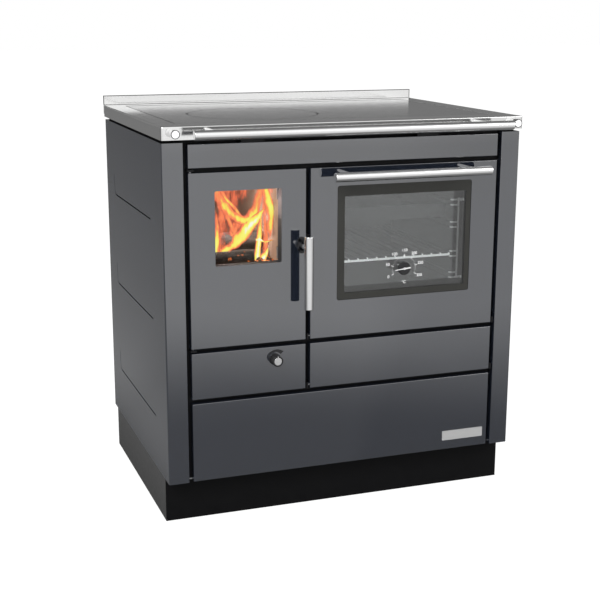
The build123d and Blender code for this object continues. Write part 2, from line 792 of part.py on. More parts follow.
# two logs lie on the grate and the third rests on both
grate_top = grate_shelf_z[1] + grate_thickness
low_logs = [(behind(log_depths[i]), grate_top + log_radii[i]) for i in range(2)]
apart = [log_radii[i] + log_radii[2] for i in range(2)]
span_y = low_logs[1][0] - low_logs[0][0]
span_z = low_logs[1][1] - low_logs[0][1]
span = (span_y**2 + span_z**2) ** 0.5
along = (apart[0] ** 2 - apart[1] ** 2 + span**2) / (2 * span)
rise = (apart[0] ** 2 - along**2) ** 0.5
top_log = (
    low_logs[0][0] + (along * span_y - rise * span_z) / span,
    low_logs[0][1] + (along * span_z + rise * span_y) / span,
)

with BuildPart() as firewood_logs:
    for (y, z), radius in zip(low_logs + [top_log], log_radii):
        rod_along_x(y, z, radius, (fire_middle - log_length / 2, fire_middle + log_length / 2))
finish(firewood_logs, "firewood_logs")

# ================================================================== smoke case and oven
with BuildPart() as smoke_case:
    block(case_x, case_y, case_z)
    block(shrink(case_x, case_wall), (case_y[0] - through, case_wall_y[0]),
          (case_z[0] + case_wall, case_z[1] + through), mode=Mode.SUBTRACT)
    block((case_x[0] - through, case_x[0] + case_wall + through), passage_y, passage_z, mode=Mode.SUBTRACT)
    rod_along_y(across(flue_across), flue_height, flue_radius - flue_wall,
                past(case_wall_y), mode=Mode.SUBTRACT)
finish(smoke_case, "smoke_case")

oven_y = (frame_y[1], behind(oven_back))

with BuildPart() as oven_cavity:
    block(shrink(oven_inside_x, -oven_wall), oven_y, shrink(oven_inside_z, -oven_wall))
    block(shrink(oven_inside_x, -oven_flange), (oven_y[0], oven_y[0] + oven_wall),
          shrink(oven_inside_z, -oven_flange))
    block(oven_inside_x, (oven_y[0] - through, oven_y[1] - oven_wall), oven_inside_z, mode=Mode.SUBTRACT)
finish(oven_cavity, "oven_cavity")

rack_y = (behind(rack_front), behind(rack_back))
rung_z = [oven_inside_z[0] + level + step for level in rack_levels for step in (0, rack_pair)]


left_rung_x = oven_inside_x[0] + rack_wall_gap + rack_step
right_rung_x = oven_inside_x[1] - rack_wall_gap - rack_step

# wire ladder on each oven wall: two uprights, bowed rungs and four pegs
with BuildPart() as rack_ladders:
    for wall_x, inward, rung_x in ((oven_inside_x[0], 1, left_rung_x), (oven_inside_x[1], -1, right_rung_x)):
        upright_x = wall_x + inward * rack_wall_gap
        for y in rack_y:
            upright_z = shrink((rung_z[0], rung_z[-1]), -rack_peg_radius - upright_past_peg)
            rod_along_z(upright_x, y, upright_radius, upright_z)
            peg_x = tuple(sorted((wall_x, upright_x + inward * rack_peg_radius)))
            for z in (rung_z[0], rung_z[-1]):
                rod_along_x(y, z, rack_peg_radius, peg_x)
        for z in rung_z:
            with BuildLine() as rung_line:
                FilletPolyline(
                    (upright_x, rack_y[0], z), (rung_x, rack_y[0], z),
                    (rung_x, rack_y[1], z), (upright_x, rack_y[1], z),
                    radius=rung_bend,
                )
            with BuildSketch(Plane(origin=(upright_x, rack_y[0], z), z_dir=(inward, 0, 0))):
                Circle(rung_radius)
            sweep(path=rung_line.line)
finish(rack_ladders, "rack_ladders")

with BuildPart() as wire_shelf:
    shelf_z = rung_z[2 * shelf_level] + rung_radius + shelf_rail_radius
    shelf_y = shrink(rack_y, shelf_rail_radius)
    with BuildSketch(Plane.XY.offset(shelf_z), mode=Mode.PRIVATE) as shelf_rim:
        with Locations(((left_rung_x + right_rung_x) / 2, (shelf_y[0] + shelf_y[1]) / 2)):
            RectangleRounded(right_rung_x - left_rung_x, shelf_y[1] - shelf_y[0], shelf_corner)
    rim_path = shelf_rim.sketch.faces()[0].outer_wire()
    with BuildSketch(Plane(origin=rim_path @ 0, z_dir=rim_path % 0)):
        Circle(shelf_rail_radius)
    sweep(path=rim_path)
    wire_count = int((right_rung_x - left_rung_x) // shelf_wire_pitch) - 1
    wire_z = shelf_z + shelf_wire_rise
    for i in range(wire_count):
        x = (left_rung_x + right_rung_x) / 2 + (i - (wire_count - 1) / 2) * shelf_wire_pitch
        with BuildLine() as wire_line:
            FilletPolyline(
                (x, shelf_y[0], shelf_z), (x, shelf_y[0], wire_z),
                (x, shelf_y[1], wire_z), (x, shelf_y[1], shelf_z),
                radius=shelf_wire_bend,
            )
        with BuildSketch(Plane(origin=(x, shelf_y[0], shelf_z))):
            Circle(shelf_wire_radius)
        sweep(path=wire_line.line)
finish(wire_shelf, "wire_shelf")

with BuildPart() as baking_tray:
    tray_rim_z = rung_z[-2] + rung_radius
    tray_x = (left_rung_x + rung_radius + tray_clearance, right_rung_x - rung_radius - tray_clearance)
    tray_y = (rack_y[0] + tray_setback, rack_y[1] - tray_setback)
    tray_centre = ((tray_x[0] + tray_x[1]) / 2, (tray_y[0] + tray_y[1]) / 2)
    tray_size = (tray_x[1] - tray_x[0], tray_y[1] - tray_y[0])
    rim_size = (right_rung_x - left_rung_x + 2 * rung_radius, tray_size[1] + 2 * tray_lip)
    inside_size = (tray_size[0] - 2 * tray_wall, tray_size[1] - 2 * tray_wall)
    with BuildSketch(Plane.XY.offset(tray_rim_z - tray_depth)):
        with Locations(tray_centre):
            RectangleRounded(*tray_size, tray_corner)
    extrude(amount=tray_depth + tray_wall)
    with BuildSketch(Plane.XY.offset(tray_rim_z)):
        with Locations(tray_centre):
            RectangleRounded(*rim_size, tray_corner)
    extrude(amount=tray_wall)
    with BuildSketch(Plane.XY.offset(tray_rim_z - tray_depth + tray_wall)):
        with Locations(tray_centre):
            RectangleRounded(*inside_size, tray_corner - tray_wall)
    extrude(amount=tray_depth + through, mode=Mode.SUBTRACT)
finish(baking_tray, "baking_tray")

# ================================================================== back collars
with BuildPart() as rear_spigots:
    for centre, radius, start, reach in (
        ((across(flue_across), flue_height), flue_radius, case_y[1], flue_reach),
        ((across(air_across), air_height), air_radius, firebox_y[1], air_reach),
    ):
        spigot_end = behind(body_depth + reach)
        rod_along_y(*centre, radius - collar_step, (start, behind(body_depth)))
        rod_along_y(*centre, radius, (behind(body_depth), spigot_end))
        rod_along_y(*centre, radius - flue_wall, (start - through, spigot_end + through), mode=Mode.SUBTRACT)
finish(rear_spigots, "rear_spigots")

# ================================================================== drawer runners and hinge brackets
rail_top = runner_z + runner_sheet + slide_clearance + runner_slot


with BuildPart() as drawer_runners:
    runner_y = (behind(runner_front), behind(runner_back))
    for shield_face, inward, box_side in (
        (shield_x[0] + sheet, 1, drawer_x[0]), (shield_x[1] - sheet, -1, drawer_x[1]),
    ):
        flange_x = tuple(sorted((shield_face, box_side - inward * runner_side_clearance)))
        web_x = tuple(sorted((shield_face, shield_face + inward * runner_sheet)))
        block(flange_x, runner_y, (runner_z, runner_z + runner_sheet))
        block(flange_x, runner_y, (rail_top, rail_top + runner_sheet))
        block(web_x, runner_y, (runner_z, rail_top + runner_sheet))
finish(drawer_runners, "drawer_runners")

fire_hinge_x = fire_x[0] + hinge_edge
hinge_y = behind(hinge_depth)
bracket_y = (behind(bracket_front), frame_y[0])
bracket_joint = (row_gap - bracket_thickness) / 2
hinge_hole = hinge_pin_radius + hinge_clearance
fire_bracket_z = (
    (door_z[0] - row_gap + bracket_joint, door_z[0] - bracket_joint),
    (door_z[1] + bracket_joint, door_z[1] + row_gap - bracket_joint),
)

left_joint_x = (
    oven_x[0] - column_gap / 2 - bracket_thickness / 2,
    oven_x[0] - column_gap / 2 + bracket_thickness / 2,
)
right_joint_x = (
    oven_x[1] + side_gap / 2 - bracket_thickness / 2,
    oven_x[1] + side_gap / 2 + bracket_thickness / 2,
)
oven_hinge_z = door_z[0] + hinge_edge
flap_hinge_z = ash_z[0] + hinge_edge

# arms above and below the fire door, and upright ears beside the two fronts that tip forwards
with BuildPart() as hinge_brackets:
    for z_span in fire_bracket_z:
        block((fire_hinge_x - bracket_width / 2, fire_hinge_x + bracket_width / 2), bracket_y, z_span)
    rod_along_z(fire_hinge_x, hinge_y, hinge_hole, past((fire_bracket_z[0][0], fire_bracket_z[1][1])),
                mode=Mode.SUBTRACT)
    for axis_z in (oven_hinge_z, flap_hinge_z):
        for x_span in (left_joint_x, right_joint_x):
            block(x_span, bracket_y, (axis_z - bracket_width / 2, axis_z + bracket_width / 2))
        rod_along_x(hinge_y, axis_z, hinge_hole, (left_joint_x[0] - through, right_joint_x[1] + through),
                    mode=Mode.SUBTRACT)
finish(hinge_brackets, "hinge_brackets")

# ================================================================== fire door
with BuildPart() as fire_door_panel:
    folded_front(fire_x, door_z)
    with BuildSketch(front_plane(-through)):
        with Locations(((window_x[0] + window_x[1]) / 2, (window_z[0] + window_z[1]) / 2)):
            RectangleRounded(window_width, window_height, window_corner)
    extrude(amount=-(sheet + 2 * through), mode=Mode.SUBTRACT)
    for end, step in ((door_z[0], 1), (door_z[1], -1)):
        rod_along_z(fire_hinge_x, hinge_y, hinge_boss_radius,
                    tuple(sorted((end + step * sheet, end + step * hinge_boss_length))))
    for z_span in ((fire_bracket_z[0][0], door_z[0] + sheet), (door_z[1] - sheet, fire_bracket_z[1][1])):
        rod_along_z(fire_hinge_x, hinge_y, hinge_pin_radius, z_span)
    rod_along_y(handle_x, handle_z, spindle_radius + spindle_clearance, past(skin_y),
                mode=Mode.SUBTRACT)
    block(past((fire_x[1] - sheet, fire_x[1])), shrink(latch_y, -latch_slot_margin), latch_slot_z,
          mode=Mode.SUBTRACT)
finish(fire_door_panel, "fire_door_panel")

glass_y = (behind(glass_frame_depth), behind(glass_frame_depth + fire_glass_thickness))

with BuildPart() as fire_door_liner:
    block(shrink(fire_x, sheet), (behind(inner_plate_front), behind(inner_plate_front + sheet)),
          shrink(door_z, sheet))
    block(glass_frame_x, (behind(sheet), glass_y[0]), glass_frame_z)
    block(window_x, (behind(0), glass_y[0] + through), window_z, mode=Mode.SUBTRACT)
finish(fire_door_liner, "fire_door_liner")

with BuildPart() as fire_door_glass:
    block(shrink(glass_frame_x, glass_edge), glass_y, shrink(glass_frame_z, glass_edge))
finish(fire_door_glass, "fire_door_glass")

with BuildPart() as glass_clips:
    for x in glass_frame_x:
        for z in shrink(glass_frame_z, glass_clip_length):
            inward = 1 if x == glass_frame_x[0] else -1
            clip_x = tuple(sorted((x - inward * glass_clip_thickness, x + inward * glass_clip_width)))
            leg_x = tuple(sorted((x - inward * glass_clip_thickness, x)))
            clip_z = (z - glass_clip_length / 2, z + glass_clip_length / 2)
            block(clip_x, (glass_y[1], glass_y[1] + glass_clip_thickness), clip_z)
            block(leg_x, (behind(inner_plate_front + sheet), glass_y[1]), clip_z)
finish(glass_clips, "glass_clips")


def door_seal(opening_x, opening_z, y_span):
    """Rope seal laid round an opening, on the back of a front."""
    with BuildPart() as seal:
        outer = seal_width + seal_inset
        block(shrink(opening_x, -outer), y_span, shrink(opening_z, -outer))
        block(shrink(opening_x, -seal_inset), past(y_span), shrink(opening_z, -seal_inset),
              mode=Mode.SUBTRACT)
    return seal


seal_y = (behind(inner_plate_front + sheet), frame_y[0] - seat_clearance)
fire_door_seal = door_seal(fire_opening_x, fire_opening_z, seal_y)
finish(fire_door_seal, "fire_door_seal")

with BuildPart() as fire_handle_bar:
    bar_y = behind(-standoff)
    bar_top = handle_z + handle_top
    rod_along_z(handle_x, bar_y, handle_radius, (bar_top - handle_length, bar_top))
    fillet(fire_handle_bar.edges().filter_by(GeomType.CIRCLE), bar_end_round)
    rod_along_y(handle_x, handle_z, neck_radius, (behind(-standoff), behind(-hub_length)))
finish(fire_handle_bar, "fire_handle_bar")

with BuildPart() as fire_handle_hub:
    hub_back = behind(-rosette_thickness - seat_clearance)
    rod_along_y(handle_x, handle_z, hub_radius, (behind(-hub_length), hub_back))
    rod_along_y(handle_x, handle_z, spindle_radius, (hub_back, latch_y[0]))
finish(fire_handle_hub, "fire_handle_hub")

with BuildPart() as fire_handle_rosette:
    with BuildSketch(front_plane(-rosette_thickness)):
        with Locations((handle_x, handle_z)):
            SlotOverall(rosette_height, rosette_width, rotation=90)
    extrude(amount=-rosette_thickness)
    rod_along_y(handle_x, handle_z, spindle_radius + spindle_clearance,
                (behind(-rosette_thickness - through), behind(through)), mode=Mode.SUBTRACT)
finish(fire_handle_rosette, "fire_handle_rosette")

with BuildPart() as latch_tongue:
    rod_along_y(handle_x, handle_z, spindle_radius, latch_y)
    tongue_z = (handle_z - latch_width / 2, handle_z + latch_width / 2)
    block((handle_x, handle_x + latch_length), latch_y, tongue_z)
finish(latch_tongue, "latch_tongue")

# ================================================================== oven door
def hinge_ends(axis_z):
    """Bosses inside the two ends of a front that tips forwards, with the pins into its ears."""
    for end, step, pin_end in ((oven_x[0], 1, left_joint_x[0]), (oven_x[1], -1, right_joint_x[1])):
        rod_along_x(hinge_y, axis_z, hinge_boss_radius,
                    tuple(sorted((end + step * sheet, end + step * hinge_boss_length))))
        rod_along_x(hinge_y, axis_z, hinge_pin_radius, tuple(sorted((end + step * sheet, pin_end))))


with BuildPart() as oven_door_panel:
    folded_front(oven_x, door_z)
    with BuildSketch(front_plane(-through)):
        with Locations(((pane_x[0] + pane_x[1]) / 2, (pane_z[0] + pane_z[1]) / 2)):
            RectangleRounded(pane_x[1] - pane_x[0], pane_z[1] - pane_z[0], oven_glass_corner)
    extrude(amount=-(sheet + 2 * through), mode=Mode.SUBTRACT)
    hinge_ends(oven_hinge_z)
finish(oven_door_panel, "oven_door_panel")


outer_glass_y = (behind(oven_glass_front), behind(oven_glass_front + oven_glass_thickness))
inner_glass_y = (behind(liner_back - oven_glass_thickness), behind(liner_back))

with BuildPart() as oven_outer_glass:
    with BuildSketch(Plane.XZ.offset(-outer_glass_y[0])):
        with Locations(((pane_x[0] + pane_x[1]) / 2, (pane_z[0] + pane_z[1]) / 2)):
            RectangleRounded(pane_x[1] - pane_x[0] - 2 * glass_joint,
                             pane_z[1] - pane_z[0] - 2 * glass_joint, oven_glass_corner - glass_joint)
        with Locations((dial_x, dial_z)):
            Circle(dial_hole_radius, mode=Mode.SUBTRACT)
    extrude(amount=-oven_glass_thickness)
finish(oven_outer_glass, "oven_outer_glass")

with BuildPart() as oven_door_liner:
    block(shrink(oven_x, sheet), (behind(inner_plate_front), behind(inner_plate_front + sheet)),
          shrink(door_z, sheet))
    block(plug_x, (outer_glass_y[1], behind(liner_back)), plug_z)
    block(liner_hole_x, past((outer_glass_y[1], behind(liner_back))), liner_hole_z, mode=Mode.SUBTRACT)
    block(shrink(plug_x, liner_wall), inner_glass_y, shrink(plug_z, liner_wall), mode=Mode.SUBTRACT)
finish(oven_door_liner, "oven_door_liner")

with BuildPart() as oven_inner_glass:
    block(shrink(plug_x, liner_wall + glass_edge), inner_glass_y, shrink(plug_z, liner_wall + glass_edge))
    rod_along_y(dial_x, dial_z, dial_hole_radius, past(inner_glass_y), mode=Mode.SUBTRACT)
finish(oven_inner_glass, "oven_inner_glass")

oven_door_seal = door_seal(oven_opening[0], oven_opening[1], seal_y)
finish(oven_door_seal, "oven_door_seal")

with BuildPart() as oven_handle_bar:
    rod_along_x(behind(-standoff), oven_handle_z, handle_radius, oven_handle_x)
    fillet(oven_handle_bar.edges().filter_by(GeomType.CIRCLE), bar_end_round)
finish(oven_handle_bar, "oven_handle_bar")

with BuildPart() as oven_handle_posts:
    for x in oven_post_x:
        rod_along_y(x, oven_handle_z, neck_radius, (behind(-standoff), behind(0)))
    rod_along_x(behind(-standoff), oven_handle_z, handle_radius, oven_handle_x, mode=Mode.SUBTRACT)
finish(oven_handle_posts, "oven_handle_posts")

dial_y = (outer_glass_y[0] - dial_thickness, outer_glass_y[0])
pointer_y = (dial_y[0] - pointer_gap - pointer_thickness, dial_y[0] - pointer_gap)

with BuildPart() as thermometer_hub:
    rod_along_y(dial_x, dial_z, dial_radius, dial_y)
    fillet(edges_at_depth(thermometer_hub, dial_y[0]), dial_round)
    rod_along_y(dial_x, dial_z, dial_stem_radius, (dial_y[1], behind(dial_stem_end)))
    rod_along_y(dial_x, dial_z, pointer_pin_radius, (pointer_y[0] - pointer_gap, dial_y[0]))
finish(thermometer_hub, "thermometer_hub")


def needle_point(distance, side):
    """Point on the needle: distance from the pivot along it, and to its side."""
    turn = radians(pointer_rest)
    return (
        dial_x + distance * cos(turn) - side * sin(turn),
        dial_z + distance * sin(turn) + side * cos(turn),
    )


with BuildPart() as thermometer_pointer:
    with BuildSketch(Plane.XZ.offset(-pointer_y[0])):
        with BuildLine():
            Polyline(
                needle_point(pointer_long, pointer_tip_width / 2),
                needle_point(-pointer_short, pointer_tail_width / 2),
                needle_point(-pointer_short, -pointer_tail_width / 2),
                needle_point(pointer_long, -pointer_tip_width / 2),
                close=True,
            )
        make_face()
        with Locations((dial_x, dial_z)):
            Circle(pointer_boss_radius)
            Circle(pointer_pin_radius + hinge_clearance, mode=Mode.SUBTRACT)
    extrude(amount=-pointer_thickness)
finish(thermometer_pointer, "thermometer_pointer")

# ================================================================== ash drawer
liner_y = (behind(inner_plate_front), behind(inner_plate_front + sheet))

with BuildPart() as ash_front_panel:
    folded_front(fire_x, ash_z)
    rod_along_y(knob_x, knob_z, knob_spindle_radius + spindle_clearance, past(skin_y),
                mode=Mode.SUBTRACT)
finish(ash_front_panel, "ash_front_panel")


def register_port(radius_span, start_angle, sweep, y_span, mode):
    """Curved air port round the knob axis."""
    with BuildSketch(Plane.XZ.offset(-y_span[0])) as section:
        with BuildLine():
            inner = CenterArc((knob_x, knob_z), radius_span[0], start_angle, sweep)
            outer = CenterArc((knob_x, knob_z), radius_span[1], start_angle, sweep)
            Line(inner @ 0, outer @ 0)
            Line(inner @ 1, outer @ 1)
        make_face()
    extrude(section.sketch, amount=-(y_span[1] - y_span[0]), mode=mode)


port_radii = (register_port_inner, register_port_outer)

with BuildPart() as ash_front_liner:
    block(shrink(fire_x, sheet), liner_y, shrink(ash_z, sheet))
    rod_along_y(knob_x, knob_z, knob_spindle_radius + spindle_clearance, past(liner_y),
                mode=Mode.SUBTRACT)
    register_port(port_radii, register_port_start, register_port_angle, past(liner_y),
                  Mode.SUBTRACT)
finish(ash_front_liner, "ash_front_liner")

with BuildPart() as ash_pan:
    pan_y = (liner_y[1], behind(pan_back))
    block(pan_x, pan_y, pan_z)
    block(shrink(pan_x, pan_wall), shrink(pan_y, pan_wall), (pan_z[0] + pan_wall, pan_z[1] + through),
          mode=Mode.SUBTRACT)
finish(ash_pan, "ash_pan")

register_y = (liner_y[0] - seat_clearance - register_thickness, liner_y[0] - seat_clearance)

with BuildPart() as air_register:
    rod_along_y(knob_x, knob_z, register_radius, register_y)
    register_port(port_radii, register_port_start, register_port_angle, past(register_y),
                  Mode.SUBTRACT)
    rod_along_y(knob_x, knob_z, knob_spindle_radius, (behind(-seat_clearance), liner_y[1] - seat_clearance))
finish(air_register, "air_register")

with BuildPart() as air_knob:
    knob_face = behind(-knob_standoff)
    knob_back = behind(-seat_clearance)
    rod_along_y(knob_x, knob_z, knob_radius, (knob_face, knob_back))
    rod_along_y(knob_x, knob_z, knob_base_radius, (knob_back - knob_base_length, knob_back))
    fillet(edges_at_depth(air_knob, knob_face), knob_round)
    rod_along_y(knob_x, knob_z, cap_radius, (knob_face - through, knob_face + cap_depth), mode=Mode.SUBTRACT)
finish(air_knob, "air_knob")

with BuildPart() as air_knob_cap:
    rod_along_y(knob_x, knob_z, cap_radius, (knob_face - cap_proud, knob_face + cap_depth))
    fillet(edges_at_depth(air_knob_cap, knob_face - cap_proud), cap_proud * head_round_share)
finish(air_knob_cap, "air_knob_cap")

# ================================================================== soot flap
with BuildPart() as soot_flap_panel:
    folded_front(oven_x, ash_z)
    hinge_ends(flap_hinge_z)
finish(soot_flap_panel, "soot_flap_panel")

with BuildPart() as soot_flap_liner:
    block(shrink(oven_x, sheet), liner_y, shrink(ash_z, sheet))
finish(soot_flap_liner, "soot_flap_liner")

# ================================================================== wood drawer
with BuildPart() as wood_drawer_front:
    folded_front(fronts_x, drawer_z)
finish(wood_drawer_front, "wood_drawer_front")

with BuildPart() as wood_drawer_box:
    box_y = (behind(sheet), behind(drawer_back))
    block(drawer_x, box_y, drawer_box_z)
    block(shrink(drawer_x, drawer_wall), shrink(box_y, drawer_wall),
          (drawer_box_z[0] + drawer_wall, drawer_box_z[1] + through), mode=Mode.SUBTRACT)
    rail_z = (runner_z + runner_sheet + slide_clearance, rail_top - seat_clearance)
    rail_y = (frame_y[1] + seat_clearance, behind(drawer_back))
    block((drawer_x[0] - drawer_rail_width, drawer_x[0]), rail_y, rail_z)
    block((drawer_x[1], drawer_x[1] + drawer_rail_width), rail_y, rail_z)
finish(wood_drawer_box, "wood_drawer_box")

with BuildPart() as badge_plate:
    badge_x = (fronts_x[1] - badge_right - badge_width, fronts_x[1] - badge_right)
    badge_z = (drawer_z[0] + badge_bottom, drawer_z[0] + badge_bottom + badge_height)
    block(badge_x, (behind(-badge_thickness), behind(0)), badge_z)
    fillet(badge_plate.edges().filter_by(Axis.Y), badge_corner)
finish(badge_plate, "badge_plate")
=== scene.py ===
"""Looks of the wood cookstove: materials, fire, printed marks, camera, floor and light."""
import math
import random

import bmesh
import bpy
from mathutils import Matrix, Vector, noise


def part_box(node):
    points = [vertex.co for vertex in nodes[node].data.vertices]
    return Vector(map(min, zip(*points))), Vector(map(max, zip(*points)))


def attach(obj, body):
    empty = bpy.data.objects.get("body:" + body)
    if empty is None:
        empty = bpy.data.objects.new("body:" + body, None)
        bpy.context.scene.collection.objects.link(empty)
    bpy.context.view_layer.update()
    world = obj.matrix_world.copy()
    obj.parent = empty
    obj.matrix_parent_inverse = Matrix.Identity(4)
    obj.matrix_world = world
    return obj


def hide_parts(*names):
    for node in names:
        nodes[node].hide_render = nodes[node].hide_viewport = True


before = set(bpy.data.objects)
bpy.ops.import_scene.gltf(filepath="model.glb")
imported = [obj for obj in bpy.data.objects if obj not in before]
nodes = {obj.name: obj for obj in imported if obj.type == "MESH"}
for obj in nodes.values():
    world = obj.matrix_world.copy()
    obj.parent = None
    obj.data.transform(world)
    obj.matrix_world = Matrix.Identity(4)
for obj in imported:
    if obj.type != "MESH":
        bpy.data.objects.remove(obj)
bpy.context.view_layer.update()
scene = bpy.context.scene
scene.view_settings.view_transform = "Standard"

# ------------------------------------------------------------------ places, in metres
CABINET_LEFT = -0.4
FRONT = -0.2865
HOB_TOP = 0.849
RIGHT, BACK, UP = Vector((1, 0, 0)), Vector((0, 1, 0)), Vector((0, 0, 1))


def across(mm):
    """X of a place this far from the cabinet's left side."""
    return CABINET_LEFT + mm / 1000


def behind(mm):
    """Y of a place this far behind the fronts."""
    return FRONT + mm / 1000


def new_object(name, data):
    """Object in the scene for a mesh, text, lamp or camera."""
    made = bpy.data.objects.new(name, data)
    scene.collection.objects.link(made)
    return made


# ------------------------------------------------------------------ camera
SENSOR_WIDTH = 36.0
LENS = 72.1245
CAMERA_PLACE = (-0.943978, -2.604021, 1.072464)
CAMERA_RIGHT = Vector((0.94101527, -0.33835585, 0.00236316))
CAMERA_DOWN = Vector((-0.07733284, -0.22186224, -0.97200657))
CAMERA_FORWARD = Vector((0.3294084, 0.91449028, -0.23494177))

camera_data = bpy.data.cameras.new("camera")
camera_data.sensor_width = SENSOR_WIDTH
camera_data.lens = LENS
camera_data.clip_start = 0.05
camera_data.clip_end = 100.0
camera = new_object("camera", camera_data)
turn = Matrix((CAMERA_RIGHT, -CAMERA_DOWN, -CAMERA_FORWARD)).transposed()
camera.matrix_world = Matrix.Translation(CAMERA_PLACE) @ turn.to_4x4()
scene.camera = camera


# ------------------------------------------------------------------ material helpers
def new_material(name):
    material = bpy.data.materials.new(name)
    material.use_nodes = True
    material.node_tree.nodes.clear()
    return material, material.node_tree


def node(tree, kind, inputs, **settings):
    """New shader node. Each input gets a number, a vector, a colour or another node's output."""
    made = tree.nodes.new(kind)
    for key, value in settings.items():
        setattr(made, key, value)
    for key, value in inputs.items():
        socket = made.inputs[key]
        if isinstance(value, bpy.types.NodeSocket):
            tree.links.new(value, socket)
        elif socket.type == "RGBA":
            socket.default_value = (*value, 1)
        else:
            socket.default_value = value
    return made


def show(tree, shader):
    """Makes a shader's output the look of the material."""
    node(tree, "ShaderNodeOutputMaterial", {"Surface": shader})


def grey(shade):
    return shade, shade, shade


def coordinates(tree, scale=(1, 1, 1)):
    place = node(tree, "ShaderNodeTexCoord", {})
    mapping = node(tree, "ShaderNodeMapping", {"Scale": scale, "Vector": place.outputs["Object"]})
    return mapping.outputs["Vector"]


def noise_value(tree, vector, scale, detail=3.0, roughness=0.5):
    made = node(tree, "ShaderNodeTexNoise", {
        "Scale": scale, "Detail": detail, "Roughness": roughness, "Vector": vector})
    return made.outputs["Fac"]


def remap(tree, value, low, high, out_low=0.0, out_high=1.0):
    """Value stretched from low and high onto two other numbers, and held there beyond them."""
    return node(tree, "ShaderNodeMapRange", {0: value, 1: low, 2: high, 3: out_low, 4: out_high}).outputs[0]


def spread(tree, value, out_low, out_high):
    """Noise stretched from the span that most of it lies in."""
    return remap(tree, value, 0.3, 0.7, out_low, out_high)


def calculate(tree, operation, first, second):
    return node(tree, "ShaderNodeMath", {0: first, 1: second}, operation=operation).outputs[0]


def mix_number(tree, share, first, second):
    return node(tree, "ShaderNodeMix", {0: share, 2: first, 3: second}, data_type="FLOAT").outputs[0]


def mix_colour(tree, share, first, second):
    return node(tree, "ShaderNodeMix", {0: share, 6: first, 7: second}, data_type="RGBA").outputs[2]


def mix_shader(tree, share, first, second):
    return node(tree, "ShaderNodeMixShader", {0: share, 1: first, 2: second}).outputs[0]


def emission(tree, colour, strength):
    return node(tree, "ShaderNodeEmission", {"Color": colour, "Strength": strength}).outputs[0]


def ramp(tree, value, stops):
    made = node(tree, "ShaderNodeValToRGB", {"Fac": value})
    elements = made.color_ramp.elements
    while len(elements) > 1:
        elements.remove(elements[-1])
    elements[0].position = stops[0][0]
    elements[0].color = (*stops[0][1], 1)
    for position, colour in stops[1:]:
        element = elements.new(position)
        element.color = (*colour, 1)
    return made.outputs["Color"]


def shade_ramp(tree, share, reach, table):
    """Grey by place: share is the place's share of the reach, and the table has pairs of place and shade."""
    return ramp(tree, share, [(place / reach, grey(shade)) for place, shade in table])


def relief(tree, height, strength, distance):
    made = node(tree, "ShaderNodeBump", {"Strength": strength, "Distance": distance, "Height": height})
    return made.outputs["Normal"]


def see_through(tree, share, shown, tint=(1, 1, 1)):
    """Shows a shader by its share over what lies behind the surface."""
    clear = node(tree, "ShaderNodeBsdfTransparent", {"Color": tint})
    show(tree, mix_shader(tree, share, clear.outputs[0], shown))


# in metres: how deep a fine texture goes, and how far a print stands off what carries it
FINE_RELIEF = 0.0005
PRINT_GAP = 0.00015
COAT_ROUGHNESS = 0.02


def surface(name, base, base_far, rough, metallic=0.0, specular=0.5, coat=0.0, coat_ior=1.5,
            grain=40.0, stretch=(1, 1, 1), bump=0.0, bump_scale=400.0, bump_stretch=(1, 1, 1), glow=0.0):
    """Painted, cast or rolled surface with mottled colour, uneven gloss and a fine texture."""
    material, tree = new_material(name)
    mottle = noise_value(tree, coordinates(tree, stretch), grain)
    inputs = {
        "Base Color": mix_colour(tree, mottle, base, base_far), "Metallic": metallic,
        "Roughness": spread(tree, mottle, *rough), "Specular IOR Level": specular,
        "Coat Weight": coat, "Coat Roughness": COAT_ROUGHNESS, "Coat IOR": coat_ior,
        "Emission Color": (1, 1, 1), "Emission Strength": glow,
    }
    if bump:
        fine = noise_value(tree, coordinates(tree, bump_stretch), bump_scale, 2.0)
        inputs["Normal"] = relief(tree, fine, bump, FINE_RELIEF)
    show(tree, node(tree, "ShaderNodeBsdfPrincipled", inputs).outputs[0])
    return material


# ------------------------------------------------------------------ materials
enamel = surface(
    "anthracite_enamel", (0.011, 0.0145, 0.023), (0.010, 0.0125, 0.020), rough=(0.35, 0.45), specular=0.0,
    coat=1.0, coat_ior=2.62, grain=60, bump=0.012, bump_scale=900)
reveal_enamel = surface(
    "reveal_enamel", (0.024, 0.030, 0.036), (0.021, 0.026, 0.032), rough=(0.5, 0.6), specular=0.1, grain=60,
    bump=0.02, bump_scale=900)
black_paint = surface(
    "black_steel", (0.004, 0.004, 0.005), (0.003, 0.003, 0.004), rough=(0.5, 0.65), specular=0.25, grain=80,
    bump=0.1, bump_scale=700)
plinth_black = surface(
    "plinth_front_paint", (0.003, 0.003, 0.0035), (0.0025, 0.0025, 0.003), rough=(0.45, 0.6), specular=0.15,
    grain=50, bump=0.1, bump_scale=900)
plinth_grey = surface(
    "plinth_side_paint", grey(0.036), grey(0.034), rough=(0.30, 0.34), grain=120, bump=0.02, bump_scale=1200)
stainless = surface(
    "stainless", (0.90, 0.90, 0.89), grey(0.86), metallic=1.0, rough=(0.09, 0.12), grain=60,
    stretch=(0.25, 1, 6), bump=0.004, bump_scale=500, bump_stretch=(0.15, 4, 4))
satin_steel = surface(
    "satin_bar", grey(0.90), grey(0.86), metallic=1.0, rough=(0.12, 0.16), grain=120,
    bump=0.012, bump_scale=900)
shaded_steel = surface(
    "shaded_steel", (0.030, 0.032, 0.036), (0.024, 0.026, 0.030), rough=(0.35, 0.45), specular=0.2, grain=120,
    bump=0.012, bump_scale=900)
galvanised = surface(
    "galvanised", (0.44, 0.45, 0.46), (0.34, 0.35, 0.36), metallic=0.35, rough=(0.35, 0.5), grain=25,
    bump=0.05, bump_scale=200)
